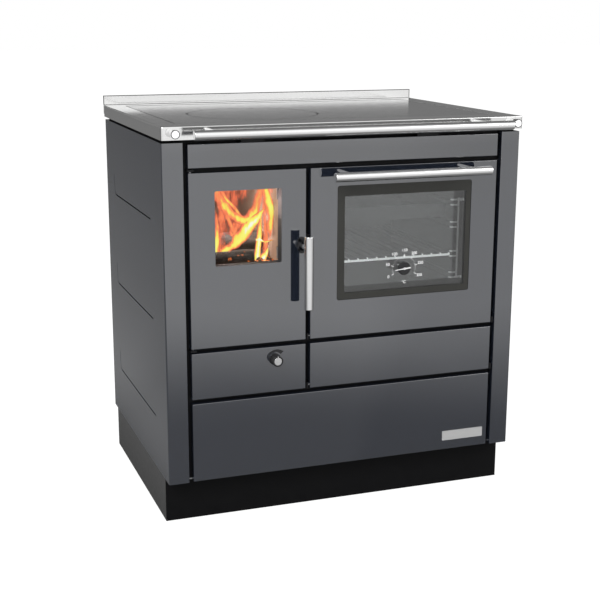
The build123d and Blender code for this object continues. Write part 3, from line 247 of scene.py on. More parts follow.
cast_plate = surface(
    "cooktop_steel", grey(0.80), grey(0.76), metallic=1.0, rough=(0.17, 0.21), grain=90,
    bump=0.01, bump_scale=1600)
grate_iron = surface(
    "grate_iron", (0.05, 0.045, 0.04), (0.02, 0.018, 0.016), rough=(0.6, 0.8), grain=90,
    bump=0.5, bump_scale=300)
oven_enamel = surface(
    "oven_enamel", (0.030, 0.030, 0.032), (0.024, 0.024, 0.026), rough=(0.4, 0.5), bump=0.05, bump_scale=800)
wire_chrome = surface("zinc_wire", grey(0.80), grey(0.70), metallic=0.3, rough=(0.3, 0.4), grain=200)
# painted light and shade on the oven's wires: the dark wires stand for the oven's shade, and the two pale
# ones glow as painted light where the daylight falls
painted_shade_wire = surface(
    "painted_shade_wire", (0.026, 0.026, 0.027), (0.022, 0.022, 0.023), rough=(0.4, 0.5), specular=0.1, grain=200)
painted_light_wire = surface("painted_light_wire", grey(0.90), grey(0.84), rough=(0.25, 0.35), grain=200, glow=0.50)
painted_light_ladder_wire = surface("painted_light_ladder_wire", grey(0.80), grey(0.74), rough=(0.25, 0.35), grain=200, glow=0.16)
polished = surface("polished_cap", grey(0.86), grey(0.80), metallic=1.0, rough=(0.12, 0.18), grain=90)
badge_metal = surface(
    "badge_plate", grey(0.44), grey(0.39), metallic=0.2, rough=(0.35, 0.45), grain=60, stretch=(0.3, 1, 6),
    bump=0.02, bump_scale=600)
knob_black = surface(
    "knob_black", (0.010, 0.010, 0.011), (0.008, 0.008, 0.009), rough=(0.28, 0.36), grain=120,
    bump=0.05, bump_scale=1500)
gloss_black = surface(
    "gloss_black", (0.004, 0.004, 0.005), (0.003, 0.003, 0.004), rough=(0.10, 0.14), grain=120,
    bump=0.01, bump_scale=1500)
seal_rope = surface(
    "rope_seal", grey(0.05), grey(0.02), rough=(0.8, 0.95), grain=300, bump=0.8, bump_scale=500)
needle_white = surface("needle_white", grey(0.85), grey(0.78), rough=(0.35, 0.45), grain=200)
brick = surface(
    "firebrick", (0.36, 0.29, 0.22), (0.20, 0.155, 0.12), rough=(0.8, 0.95), grain=22,
    bump=0.8, bump_scale=160)
glass_print = surface(
    "glass_print", (0.030, 0.030, 0.027), (0.027, 0.027, 0.024), rough=(0.45, 0.55), specular=0.25, grain=120)
# the white and dark prints are also painted highlight and painted shade on the pull knobs' faces, and the
# dark one is painted shade at the plate's back
print_and_painted_highlight = surface("print_and_painted_highlight", grey(0.95), grey(0.90), rough=(0.5, 0.6), grain=400)
print_and_painted_shade = surface("print_and_painted_shade", (0.010, 0.010, 0.012), (0.007, 0.007, 0.008), rough=(0.5, 0.6), grain=400)
# painted shade lines along the upstand's hem
hem_shade = surface("joint_shade", grey(0.055), grey(0.045), rough=(0.5, 0.6), specular=0.1, grain=200)
# painted highlight along the plate's right edge
edge_highlight = surface("painted_edge_highlight", grey(0.46), grey(0.41), rough=(0.3, 0.4), grain=200)


def glass_material(name, tint, reflect_ior):
    """Thin pane: clear, slightly tinted, with surface reflection only."""
    material, tree = new_material(name)
    smudge = noise_value(tree, coordinates(tree), 14.0)
    gloss = node(tree, "ShaderNodeBsdfGlossy", {
        "Color": (1, 1, 1), "Roughness": spread(tree, smudge, 0.01, 0.03)})
    fresnel = node(tree, "ShaderNodeFresnel", {"IOR": reflect_ior})
    see_through(tree, fresnel.outputs[0], gloss.outputs[0], tint)
    return material


fire_glass = glass_material("fire_glass", (0.97, 0.96, 0.94), 1.12)
outer_pane = glass_material("oven_outer_pane", (0.95, 0.96, 0.96), 1.62)
inner_pane = glass_material("oven_inner_pane", (0.95, 0.96, 0.96), 1.66)


def thin_print_material():
    """Print that lets part of the light through."""
    material, tree = new_material("thin_print")
    matt = node(tree, "ShaderNodeBsdfDiffuse", {"Color": (0.03, 0.03, 0.028)})
    cover = noise_value(tree, coordinates(tree), 260.0)
    see_through(tree, spread(tree, cover, 0.30, 0.36), matt.outputs[0])
    return material


looks = {
    enamel: ("fascia", "fire_door_panel", "oven_door_panel", "ash_front_panel", "soot_flap_panel",
             "wood_drawer_front", "left_side_panel", "right_side_panel"),
    black_paint: ("floor_plate", "front_frame", "top_ring", "firebox_casing", "rear_spigots",
                  "hinge_brackets", "fire_door_liner", "latch_tongue", "oven_door_liner", "ash_front_liner",
                  "soot_flap_liner"),
    plinth_black: ("plinth_front",),
    plinth_grey: ("plinth_surround",),
    stainless: ("hob_frame", "rear_upstand"),
    satin_steel: ("rail_bar", "rail_posts", "fire_handle_bar", "oven_handle_bar", "oven_handle_posts",
                  "left_air_slide", "right_air_slide"),
    galvanised: ("carcass_base", "heat_shields", "back_panel", "smoke_case", "drawer_runners",
                 "glass_clips", "ash_pan", "air_register", "wood_drawer_box"),
    cast_plate: ("cooktop_plate",),
    grate_iron: ("fire_grate",),
    brick: ("firebricks",),
    oven_enamel: ("oven_cavity", "baking_tray"),
    wire_chrome: ("back_screws", "rack_ladders", "wire_shelf"),
    polished: ("air_knob_cap",),
    badge_metal: ("badge_plate",),
    knob_black: ("air_knob", "thermometer_hub"),
    gloss_black: ("fire_handle_rosette", "fire_handle_hub"),
    seal_rope: ("fire_door_seal", "oven_door_seal"),
    needle_white: ("thermometer_pointer",),
    fire_glass: ("fire_door_glass",),
    outer_pane: ("oven_outer_glass",),
    inner_pane: ("oven_inner_glass",),
}
for material, names in looks.items():
    for name in names:
        nodes[name].data.materials.clear()
        nodes[name].data.materials.append(material)


# ------------------------------------------------------------------ second looks on single faces
def second_look(name, material, chosen):
    """Gives a second look to the faces of a node that the chosen function picks."""
    mesh = nodes[name].data
    mesh.materials.append(material)
    index = len(mesh.materials) - 1
    for face in mesh.polygons:
        if chosen(face):
            face.material_index = index


def dress_back(name, material, least):
    """Second look for the faces that look towards the back by at least this much."""
    second_look(name, material, lambda face: face.normal.y > least)


def dress_faces(name, material, low_mm, high_mm):
    """Second look for the faces whose middle lies in a box: X, depth and height in mm."""
    to_world = nodes[name].matrix_world
    low_m, high_m = ((across(x), behind(y), z / 1000) for x, y, z in (low_mm, high_mm))

    def inside(face):
        centre = to_world @ face.center
        return all(low_m[i] < centre[i] < high_m[i] for i in range(3))
    second_look(name, material, inside)


OVEN_SIDES = (300, 760)
OVEN_HEIGHTS = (450, 722)
# depths in mm: the shelf's front rail and the ladders' first uprights catch the daylight, and behind
# them the wires lie in the oven's shade
OVEN_START, OVEN_END = 30, 500
LADDER_SHADE = 62
SHELF_SHADE = 70
# the rounded edge of the door's window, in front of this depth, keeps the glossy enamel
WINDOW_EDGE = 0.05


def dress_wires(name, material, near, far):
    """Second look for the wires in the oven between two depths in mm."""
    (left, right), (bottom, top) = OVEN_SIDES, OVEN_HEIGHTS
    dress_faces(name, material, (left, near, bottom), (right, far, top))


# painted shade: the faces of each handle bar that look towards the door get the dark steel, so the bar's back
# and its mirror image in the glossy door show dark
dress_back("oven_handle_bar", shaded_steel, 0.35)
dress_back("fire_handle_bar", shaded_steel, 0.15)
# painted shade on the wires deep in the oven, and glowing painted light on the wires near the door
dress_wires("wire_shelf", painted_shade_wire, SHELF_SHADE, OVEN_END)
dress_wires("wire_shelf", painted_light_wire, OVEN_START, SHELF_SHADE)
dress_wires("rack_ladders", painted_shade_wire, LADDER_SHADE, OVEN_END)
dress_wires("rack_ladders", painted_light_ladder_wire, OVEN_START, LADDER_SHADE)
dress_faces("fire_door_panel", reveal_enamel, (95, WINDOW_EDGE, 545), (275, 30, 732))
dress_faces("fire_door_liner", reveal_enamel, (100, 0, 550), (270, 27, 728))


# ------------------------------------------------------------------ new pieces
def add_piece(name, mesh, material, body, smooth=False):
    """Dresses a mesh and sets it on its body."""
    for face in mesh.polygons:
        face.use_smooth = smooth
    mesh.materials.append(material)
    piece = new_object(name, mesh)
    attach(piece, body)
    return piece


def add_mesh(name, build, material, body, smooth=False):
    """Piece whose mesh a function builds."""
    mesh = bpy.data.meshes.new(name)
    made = bmesh.new()
    build(made)
    made.normal_update()
    made.to_mesh(mesh)
    made.free()
    return add_piece(name, mesh, material, body, smooth)


def corner_face(made, corners):
    made.faces.new([made.verts.new(corner) for corner in corners])


# ------------------------------------------------------------------ floor
FLOOR_CORNERS = ((-30, -30, 0), (30, -30, 0), (30, 30, 0), (-30, 30, 0))
# how bright the floor shows in the stove's glossy faces: metres from the stove and share of white
FLOOR_AHEAD = (
    (0.0, 0.197), (0.43, 0.205), (0.6, 0.211), (0.7, 0.232), (0.79, 0.264), (0.9, 0.319), (1.01, 0.38),
    (1.13, 0.453), (1.26, 0.526), (1.39, 0.611), (1.54, 0.685), (1.7, 0.742), (1.9, 0.79), (6.8, 0.80),
    (8.2, 0.95))
FLOOR_BESIDE = (
    (0.0, 0.20), (0.05, 0.24), (0.08, 0.31), (0.12, 0.35), (0.17, 0.35), (0.24, 0.32), (0.35, 0.285),
    (0.5, 0.253), (0.7, 0.238), (0.97, 0.211), (1.27, 0.20), (1.54, 0.19), (4.0, 0.17))
AHEAD_REACH = 10.0
BESIDE_REACH = 4.0
# the camera sees white by this share, and for the rest the lit floor with the stove's shadow
WHITE_SHARE = 0.88
WHITE_STRENGTH = 1.12


def floor_material():
    """Pale floor: white to the camera with a soft shadow, and shaded near the stove in reflections."""
    material, tree = new_material("pale_floor")
    speck = noise_value(tree, coordinates(tree), 3.0)
    matt = node(tree, "ShaderNodeBsdfDiffuse", {"Color": mix_colour(tree, speck, grey(0.80), grey(0.84))})
    place = node(tree, "ShaderNodeNewGeometry", {})
    parts = node(tree, "ShaderNodeSeparateXYZ", {0: place.outputs["Position"]})
    x, y = parts.outputs["X"], parts.outputs["Y"]
    away = calculate(tree, "SUBTRACT", FRONT, y)
    outwards = calculate(tree, "ADD", away, remap(tree, x, 0.0, 0.7, 0.0, 0.33))
    ahead = shade_ramp(tree, remap(tree, outwards, 0.0, AHEAD_REACH), AHEAD_REACH, FLOOR_AHEAD)
    beside = shade_ramp(
        tree, remap(tree, x, CABINET_LEFT, CABINET_LEFT - BESIDE_REACH), BESIDE_REACH, FLOOR_BESIDE)
    mirrored_colour = mix_colour(tree, remap(tree, y, FRONT - 0.1, FRONT + 0.1), ahead, beside)
    slant = calculate(tree, "DIVIDE", x, away)
    mirrored = emission(tree, mirrored_colour, remap(tree, slant, 0.45, 0.6, 1.0, 0.85))
    path = node(tree, "ShaderNodeLightPath", {})
    white_share = calculate(tree, "MULTIPLY", path.outputs["Is Camera Ray"], WHITE_SHARE)
    seen = mix_shader(tree, white_share, matt.outputs[0], emission(tree, (1, 1, 1), WHITE_STRENGTH))
    show(tree, mix_shader(tree, path.outputs["Is Glossy Ray"], seen, mirrored))
    return material


floor_mesh = bpy.data.meshes.new("floor")
floor_mesh.from_pydata(FLOOR_CORNERS, [], [(0, 1, 2, 3)])
floor_mesh.materials.append(floor_material())
new_object("floor", floor_mesh)

# ------------------------------------------------------------------ room and lamps
# how bright the room shows in the stove's glossy faces: degrees from the front horizon over the top to
# the back one, and share of white
SKY_OVER = (
    (0, 0.92), (15, 1.10), (50, 1.15), (60, 0.75), (72, 0.42), (90, 0.22), (106, 0.16), (154, 0.12),
    (172, 0.19), (180, 0.20))
SKY_LIGHT = 0.55
SKY_SEEN = 1.0

world = bpy.data.worlds.new("studio")
scene.world = world
world.use_nodes = True
sky = world.node_tree
sky.nodes.clear()
sky_path = node(sky, "ShaderNodeLightPath", {})
sky_way = node(sky, "ShaderNodeTexCoord", {})
sky_parts = node(sky, "ShaderNodeSeparateXYZ", {0: sky_way.outputs["Generated"]})
sky_ahead = calculate(sky, "MULTIPLY", sky_parts.outputs["Y"], -1.0)
sky_angle = calculate(sky, "ARCTAN2", sky_parts.outputs["Z"], sky_ahead)
sky_shade = shade_ramp(sky, remap(sky, sky_angle, 0.0, math.pi), 180, SKY_OVER)
sky_mirrored = mix_number(sky, sky_path.outputs["Is Glossy Ray"], SKY_LIGHT, sky_shade)
sky_strength = mix_number(sky, sky_path.outputs["Is Camera Ray"], sky_mirrored, SKY_SEEN)
sky_light = node(sky, "ShaderNodeBackground", {"Color": (1, 1, 1), "Strength": sky_strength})
node(sky, "ShaderNodeOutputWorld", {"Surface": sky_light.outputs[0]})


def softbox(name, place, target, side, watts):
    """Square lamp, turned to a target."""
    data = bpy.data.lights.new(name, "AREA")
    data.shape = "RECTANGLE"
    data.size = data.size_y = side
    data.energy = watts
    lamp = new_object(name, data)
    lamp.location = place
    lamp.rotation_mode = "QUATERNION"
    lamp.rotation_quaternion = (Vector(target) - Vector(place)).to_track_quat("-Z", "Y")
    return lamp


def bulb(name, place, watts, colour=(1, 1, 1)):
    """Small round lamp inside the stove."""
    data = bpy.data.lights.new(name, "POINT")
    data.energy = watts
    data.color = colour
    data.shadow_soft_size = 0.03
    new_object(name, data).location = place


softbox("key", (-2.6, -3.2, 3.4), (0, 0, 0.4), 2.4, 150)
softbox("fill", (3.2, -2.6, 2.6), (0, 0, 0.4), 2.4, 70)
softbox("top", (0.2, 0.6, 3.6), (0, 0, 0.6), 2.6, 60).visible_glossy = False

# ------------------------------------------------------------------ flames
random.seed(11)


def flame_material():
    """Glowing gas: yellow core, orange body and red edges, see-through where it thins out."""
    material, tree = new_material("flame")
    heat = node(tree, "ShaderNodeAttribute", {}, attribute_name="flame_heat")
    tongues = noise_value(tree, coordinates(tree, (1.0, 1.0, 0.35)), 75.0, 4.0, 0.6)
    total = calculate(tree, "ADD", heat.outputs["Fac"], spread(tree, tongues, -0.26, 0.22))
    colour = ramp(tree, remap(tree, total, 0.0, 1.3), [
        (0.06, (0.40, 0.10, 0.06)), (0.22, (1.0, 0.21, 0.11)), (0.44, (1.0, 0.32, 0.13)),
        (0.56, (1.0, 0.85, 0.14)), (0.80, (1.0, 1.0, 0.22)), (0.93, (1.0, 1.0, 0.85)),
    ])
    see_through(tree, remap(tree, total, 0.08, 0.42), emission(tree, colour, 1.0))
    return material


flame_look = flame_material()
FLAME_STEPS = 28
FLAME_ROWS = 9
FLAME_WAVE = 0.18
FLAME_HOLLOW = 0.006


def along(values, t):
    """Value at a share of the way along a list, eased in and out of each entry."""
    place = t * (len(values) - 1)
    index = min(int(place), len(values) - 2)
    share = place - index
    share = share * share * (3 - 2 * share)
    first, second = values[index], values[index + 1]
    return first + (second - first) * share


def flame(name, points, widths, heats):
    """One tongue of fire: a curved ribbon along points, hottest along its middle."""
    route = [Vector((across(x), behind(y), z / 1000)) for x, y, z in points]
    verts, faces, heat_values = [], [], []
    for i in range(FLAME_STEPS + 1):
        t = i / FLAME_STEPS
        centre = along(route, t)
        ahead = along(route, min(1.0, t + 0.02)) - along(route, max(0.0, t - 0.02))
        side = Vector((-ahead.z, 0, ahead.x)).normalized()
        width = along(widths, t) / 1000
        for j in range(FLAME_ROWS):
            u = j / (FLAME_ROWS - 1) * 2 - 1
            wave = noise.noise(Vector((centre.x * 60 + u, t * 5, centre.y * 40))) * FLAME_WAVE
            verts.append(tuple(centre + side * width / 2 * (u + wave) + BACK * FLAME_HOLLOW * u * u))
            heat_values.append(max(0.0, along(heats, t) * (1 - abs(u) ** 1.6)))
    for i in range(FLAME_STEPS):
        for j in range(FLAME_ROWS - 1):
            a = i * FLAME_ROWS + j
            faces.append((a, a + 1, a + FLAME_ROWS + 1, a + FLAME_ROWS))
    mesh = bpy.data.meshes.new(name)
    mesh.from_pydata(verts, [], faces)
    mesh.attributes.new("flame_heat", "FLOAT", "POINT").data.foreach_set("value", heat_values)
    add_piece(name, mesh, flame_look, "cabinet", smooth=True)


# each tongue's points, with X from the cabinet's left side, depth behind the fronts and height in mm, then
# its widths in mm and its heats along the way
FLAMES = {
    "flame_column": (
        [(150, 126, 563), (150, 124, 585), (154, 122, 612), (155, 120, 642), (154, 118, 672), (157, 118, 705),
         (162, 120, 752)],
        [34, 38, 36, 34, 40, 46, 44], [0.62, 0.58, 0.46, 0.42, 0.50, 0.52, 0.45]),
    "flame_low_left": (
        [(141, 122, 560), (143, 120, 576), (145, 118, 594), (146, 116, 622), (143, 114, 655)],
        [26, 24, 18, 12, 3], [1.0, 1.05, 0.95, 0.75, 0.3]),
    "flame_ridge": (
        [(136, 112, 712), (149, 112, 686), (167, 112, 660), (185, 112, 643), (201, 112, 633), (218, 112, 637),
         (229, 112, 650), (235, 112, 675), (241, 112, 700), (246, 114, 752)],
        [34, 32, 26, 24, 24, 28, 26, 22, 20, 16], [0.50, 0.6, 0.78, 0.80, 0.85, 0.92, 0.80, 0.62, 0.66, 0.5]),
    "flame_ridge_upper": (
        [(148, 114, 706), (164, 114, 682), (181, 114, 664), (193, 114, 648), (206, 114, 636)],
        [18, 13, 12, 10, 3], [0.45, 0.7, 0.72, 0.7, 0.3]),
    "flame_ridge_fork": (
        [(160, 113, 660), (168, 113, 640), (176, 113, 622), (180, 113, 606)],
        [16, 14, 10, 3], [0.4, 0.5, 0.46, 0.2]),
    "flame_blob": (
        [(156, 124, 566), (172, 122, 572), (184, 118, 582), (198, 114, 596), (210, 112, 614),
         (222, 110, 628), (235, 108, 640), (247, 108, 656)],
        [12, 22, 28, 34, 38, 34, 22, 3], [0.85, 0.95, 1.0, 1.08, 1.12, 1.10, 1.0, 0.7]),
    "flame_blob_fringe": (
        [(176, 120, 600), (190, 118, 618), (206, 116, 638), (224, 114, 652)],
        [20, 30, 26, 6], [0.35, 0.45, 0.45, 0.3]),
    "flame_stem": (
        [(230, 106, 538), (232, 106, 552), (234, 106, 574), (237, 106, 600), (240, 106, 636)],
        [22, 18, 15, 14, 8], [1.2, 1.12, 1.05, 0.98, 0.6]),
    "flame_right": (
        [(247, 110, 752), (250, 110, 704), (256, 110, 680), (263, 110, 659), (265, 110, 640), (262, 110, 612),
         (262, 112, 590)],
        [22, 24, 24, 24, 22, 18, 6], [0.62, 0.88, 0.88, 0.92, 0.92, 0.8, 0.3]),
    "flame_right_edge": (
        [(262, 112, 752), (266, 112, 716), (268, 112, 690)],
        [18, 14, 4], [0.5, 0.55, 0.3]),
    "flame_veil": (
        [(254, 118, 545), (256, 118, 586), (255, 118, 612), (254, 118, 650), (262, 120, 700),
         (264, 122, 748)],
        [20, 14, 15, 18, 28, 20], [0.5, 0.46, 0.45, 0.40, 0.42, 0.3]),
    "flame_white_base": (
        [(240, 104, 541), (247, 104, 552), (252, 104, 562), (255, 104, 572)],
        [24, 20, 12, 3], [1.3, 1.35, 1.3, 0.9]),
    "flame_white_tip": (
        [(228, 105, 590), (236, 105, 592), (244, 105, 587), (248, 105, 585)],
        [5, 9, 6, 1], [1.1, 1.35, 1.2, 0.8]),
    "flame_twig": (
        [(250, 116, 582), (258, 116, 583), (270, 116, 586)],
        [2, 4, 2], [0.8, 1.0, 0.7]),
    "flame_haze": (
        [(200, 150, 640), (205, 150, 670), (212, 150, 700), (212, 150, 740)],
        [30, 50, 60, 50], [0.10, 0.24, 0.28, 0.2]),
    "flame_haze_left": (
        [(172, 140, 600), (174, 140, 640), (172, 140, 690), (172, 140, 745)],
        [40, 46, 48, 40], [0.20, 0.30, 0.34, 0.28]),
}
for name, (points, widths, heats) in FLAMES.items():
    flame(name, points, widths, heats)


# ------------------------------------------------------------------ logs
def bark_material():
    """Charred bark with deep fissures and a few glowing spots."""
    material, tree = new_material("charred_bark")
    fissures = noise_value(tree, coordinates(tree, (0.5, 1.6, 1.6)), 70.0, 4.0, 0.6)
    embers = noise_value(tree, coordinates(tree), 95.0, 3.0, 0.6)
    shader = node(tree, "ShaderNodeBsdfPrincipled", {
        "Base Color": ramp(tree, fissures, [
            (0.30, grey(0.008)), (0.50, (0.030, 0.029, 0.028)), (0.68, (0.075, 0.072, 0.068))]),
        "Roughness": 0.85,
        "Emission Color": (1.0, 0.22, 0.03), "Emission Strength": remap(tree, embers, 0.62, 0.72, 0.0, 0.9),
        "Normal": relief(tree, fissures, 0.9, 0.003),
    })
    show(tree, shader.outputs[0])
    return material


bark = bark_material()
GRATE_TOP = 0.505
# radii and half lengths in metres; a log's middle lies at an X and a depth in mm
LOG_RADII = (0.029, 0.026, 0.024)
LOG_HALF = 0.083
LOG_MIDDLE = 180
LOG_DEPTHS = (150, 214)
LOG_SEED = 3.7
BILLET_RADIUS = 0.0155
BILLET_HALF = 0.045
BILLET_MIDDLE = 172
BILLET_CENTRE = Vector((behind(96), 0.5565))
BILLET_SEED = 9.1


def log_centres():
    """The three logs as the frame has them: two on the grate and one resting on both."""
    low = [Vector((behind(depth), GRATE_TOP + radius)) for depth, radius in zip(LOG_DEPTHS, LOG_RADII)]
    reach = [radius + LOG_RADII[2] for radius in LOG_RADII[:2]]
    gap = low[1] - low[0]
    span = gap.length
    share = (reach[0] ** 2 - reach[1] ** 2 + span ** 2) / (2 * span)
    rise = math.sqrt(reach[0] ** 2 - share ** 2)
    unit = gap / span
    return low + [low[0] + unit * share + Vector((-unit.y, unit.x)) * rise]


def log_builder(centre, radius, seed, middle=LOG_MIDDLE, half=LOG_HALF):
    """Rough round billet across the firebox: its centre is depth and height, its middle an X in mm."""
    def build(made):
        rings, sides = 30, 40
        loops = []
        for i in range(rings + 1):
            x = across(middle) - half + 2 * half * i / rings
            loop = []
            for j in range(sides):
                a = 2 * math.pi * j / sides
                bumpy = noise.noise(Vector((x * 22 + seed, math.cos(a) * 1.6, math.sin(a) * 1.6)))
                ridge = noise.noise(Vector((x * 9 + seed, math.cos(a) * 7, math.sin(a) * 7)))
                r = radius * min(1.0, 0.95 + 0.05 * bumpy + 0.045 * ridge)
                loop.append(made.verts.new((x, centre.x + r * math.cos(a), centre.y + r * math.sin(a))))
            loops.append(loop)
        for first, second in zip(loops, loops[1:]):
            for j in range(sides):
                k = (j + 1) % sides
                made.faces.new((first[j], first[k], second[k], second[j]))
        made.faces.new(list(reversed(loops[0])))
        made.faces.new(loops[-1])
    return build


def add_log(name, build):
    return add_mesh(name, build, bark, "cabinet", smooth=True)


logs = [add_log(f"log_{index + 1}", log_builder(centre, radius, LOG_SEED * index))
        for index, (centre, radius) in enumerate(zip(log_centres(), LOG_RADII))]
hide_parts("firewood_logs")
add_log("front_billet", log_builder(BILLET_CENTRE, BILLET_RADIUS, BILLET_SEED, BILLET_MIDDLE, BILLET_HALF))


# ------------------------------------------------------------------ embers
def ember_material():
    """Dark ash with glowing spots."""
    material, tree = new_material("embers")
    spots = noise_value(tree, coordinates(tree), 120.0, 3.0, 0.6)
    shader = node(tree, "ShaderNodeBsdfPrincipled", {
        "Base Color": mix_colour(tree, spots, (0.02, 0.016, 0.014), (0.16, 0.13, 0.11)),
        "Roughness": 0.9,
        "Emission Color": ramp(tree, spots, [
            (0.4, (0.5, 0.03, 0.0)), (0.55, (1.0, 0.20, 0.02)), (0.7, (1.0, 0.75, 0.3))]),
        "Emission Strength": remap(tree, spots, 0.45, 0.62, 0.0, 1.6),
    })
    show(tree, shader.outputs[0])
    return material


BED_LEFT, BED_RIGHT = across(92), across(268)
BED_NEAR, BED_FAR = behind(52), behind(119)
BED_CREST = behind(106)
BED_RISE = 0.040
BED_SLOPE = 0.050
LUMPS = 330
LUMP_LEAST, LUMP_MOST = 0.0030, 0.0068
LUMPS_LEFT, LUMPS_RIGHT = across(97), across(263)
LUMPS_NEAR, LUMPS_FAR = behind(58), behind(112)


def ember_bed(made):
    """Heap of glowing lumps between the sill and the first log."""
    def height(x, y):
        t = max(0.0, 1 - abs(y - BED_CREST) / BED_SLOPE)
        return GRATE_TOP + BED_RISE * t ** 0.6 + 0.004 * noise.noise(Vector((x * 60, y * 60, 1)))
    columns, rows = 60, 22
    xs = [BED_LEFT + (BED_RIGHT - BED_LEFT) * i / columns for i in range(columns + 1)]
    ys = [BED_NEAR + (BED_FAR - BED_NEAR) * j / rows for j in range(rows + 1)]
    grid = [[made.verts.new((x, y, height(x, y))) for x in xs] for y in ys]
    for first, second in zip(grid, grid[1:]):
        for i in range(columns):
            made.faces.new((first[i], first[i + 1], second[i + 1], second[i]))
    for _ in range(LUMPS):
        x = random.uniform(LUMPS_LEFT, LUMPS_RIGHT)
        y = random.uniform(LUMPS_NEAR, LUMPS_FAR)
        size = random.uniform(LUMP_LEAST, LUMP_MOST)
        z = height(x, y) + size * random.uniform(-0.1, 0.5)
        lump = bmesh.ops.create_icosphere(made, subdivisions=2, radius=size)["verts"]
        stretch = Vector((random.uniform(0.8, 1.5), random.uniform(0.8, 1.3), random.uniform(0.6, 1.0)))
        spin = Matrix.Rotation(random.uniform(0, math.pi), 3, "Z")
        for vert in lump:
            p = spin @ (vert.co * stretch)
            p *= 1 + 0.35 * noise.noise(p * 260 + Vector((x * 90, y * 90, 0)))
            vert.co = p + Vector((x, y, z))


add_mesh("ember_bed", ember_bed, ember_material(), "cabinet", smooth=True)
bulb("fire_glow", (across(180), behind(135), 0.66), 1.8, (1.0, 0.80, 0.76))

# ------------------------------------------------------------------ thermometer dial, in mm and degrees
DIAL = Vector((across(530.25), behind(1.0), 0.5282))
DIAL_START, DIAL_STEP = 204.0, 38.2
DIAL_PARTS = 7
MARK_INNER = 25.5
BAR_OUTER, BAR_WIDTH = 32.0, 1.0
TICK_OUTER, TICK_WIDTH = 28.3, 0.4
NUMBER_STEP, NUMBER_RADIUS, NUMBER_SIZE = 50, 40, 9.2
NUMBER_ANGLES = (204, 164, 125, 89, 54, 15, -25)
UNIT_DROP, UNIT_SIZE = 30, 9.5


def on_front(centre, x, z):
    """Place just in front of a centre, moved by mm to the right and up."""
    return centre.x + x / 1000, centre.y - PRINT_GAP, centre.z + z / 1000


def dial_marks(made):
    """Ring of fine marks round the hub, with a longer bar at each number."""
    def bar(angle, outer, width):
        a = math.radians(angle)
        out, side = Vector((math.cos(a), math.sin(a))), Vector((-math.sin(a), math.cos(a)))
        corners = [out * MARK_INNER - side * width / 2, out * outer - side * width / 2,
                   out * outer + side * width / 2, out * MARK_INNER + side * width / 2]
        corner_face(made, [on_front(DIAL, c.x, c.y) for c in corners])
    for i in range(DIAL_PARTS):
        bar(DIAL_START - i * DIAL_STEP, BAR_OUTER, BAR_WIDTH)
        if i < DIAL_PARTS - 1:
            for k in range(1, 5):
                bar(DIAL_START - (i + k / 5) * DIAL_STEP, TICK_OUTER, TICK_WIDTH)


def label(name, text, x, z, size):
    """Printed number or unit on the oven door's pane: place from the dial's middle and size in mm."""
    data = bpy.data.curves.new(name, "FONT")
    data.body = text
    data.size = size / 1000
    data.align_x = "CENTER"
    data.align_y = "CENTER"
    data.materials.append(print_and_painted_highlight)
    piece = new_object(name, data)
    piece.location = on_front(DIAL, x, z)
    piece.rotation_euler = (math.pi / 2, 0, 0)
    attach(piece, "oven_door")


add_mesh("dial_marks", dial_marks, print_and_painted_highlight, "oven_door")
for index, angle in enumerate(NUMBER_ANGLES):
    a = math.radians(angle)
    x, z = NUMBER_RADIUS * math.cos(a), NUMBER_RADIUS * math.sin(a)
    label(f"dial_number_{index * NUMBER_STEP}", str(index * NUMBER_STEP), x, z, NUMBER_SIZE)
label("dial_unit", "°C", 0, -UNIT_DROP, UNIT_SIZE)

# ------------------------------------------------------------------ oven window print and lamp
# outlines: left, right, bottom and top
OUTER_PANE = (across(374.3), across(686.2), 0.4698, 0.7145)
OUTER_CLEAR = (across(391), across(674.8), 0.4844, 0.6920)
OUTER_DEPTH = behind(1.0)
INNER_PANE = (across(380), across(680), 0.476, 0.708)
INNER_CLEAR = (across(391), across(658), 0.4920, 0.6920)
INNER_DEPTH = behind(26.0)


def add_border(name, outline, clear, depth, right_look):
    """Dark frame printed on a pane, left clear in its middle. Its right side has a look of its own."""
    def build(made):
        across_lines = (outline[0], clear[0], clear[1], outline[1])
        up_lines = (outline[2], clear[2], clear[3], outline[3])
        grid = [[made.verts.new((x, depth - PRINT_GAP, z)) for x in across_lines] for z in up_lines]
        for i in range(3):
            for j in range(3):
                if (i, j) != (1, 1):
                    face = made.faces.new((grid[i][j], grid[i][j + 1], grid[i + 1][j + 1], grid[i + 1][j]))
                    face.material_index = 1 if (i, j) == (1, 2) else 0
    add_mesh(name, build, glass_print, "oven_door").data.materials.append(right_look)


add_border("outer_pane_print", OUTER_PANE, OUTER_CLEAR, OUTER_DEPTH, glass_print)
add_border("inner_pane_print", INNER_PANE, INNER_CLEAR, INNER_DEPTH, thin_print_material())
bulb("oven_lamp", (across(520), behind(90), 0.695), 0.04)

# ------------------------------------------------------------------ air knob marks, in mm and degrees
KNOB = Vector((across(234.9), behind(0), 0.3527))
KNOB_DEPTH = 20.5
WEDGE_START, WEDGE_SWEEP = 39, 148
WEDGE_INNER, WEDGE_WIDTH = 15.9, 9.0
POINTER_INNER, POINTER_OUTER, POINTER_WIDTH = 8.1, 11.2, 1.0


def knob_wedge(made):
    """Printed wedge round the air knob, thickest at the upper right."""
    steps = 60
    inner, outer = [], []
    for i in range(steps + 1):
        t = i / steps
        a = math.radians(WEDGE_START + WEDGE_SWEEP * t)
        inner.append((WEDGE_INNER, a))
        outer.append((WEDGE_INNER + WEDGE_WIDTH * (1 - t ** 0.75), a))
    ring = outer + list(reversed(inner))
    corner_face(made, [on_front(KNOB, r * math.cos(a), r * math.sin(a)) for r, a in ring])


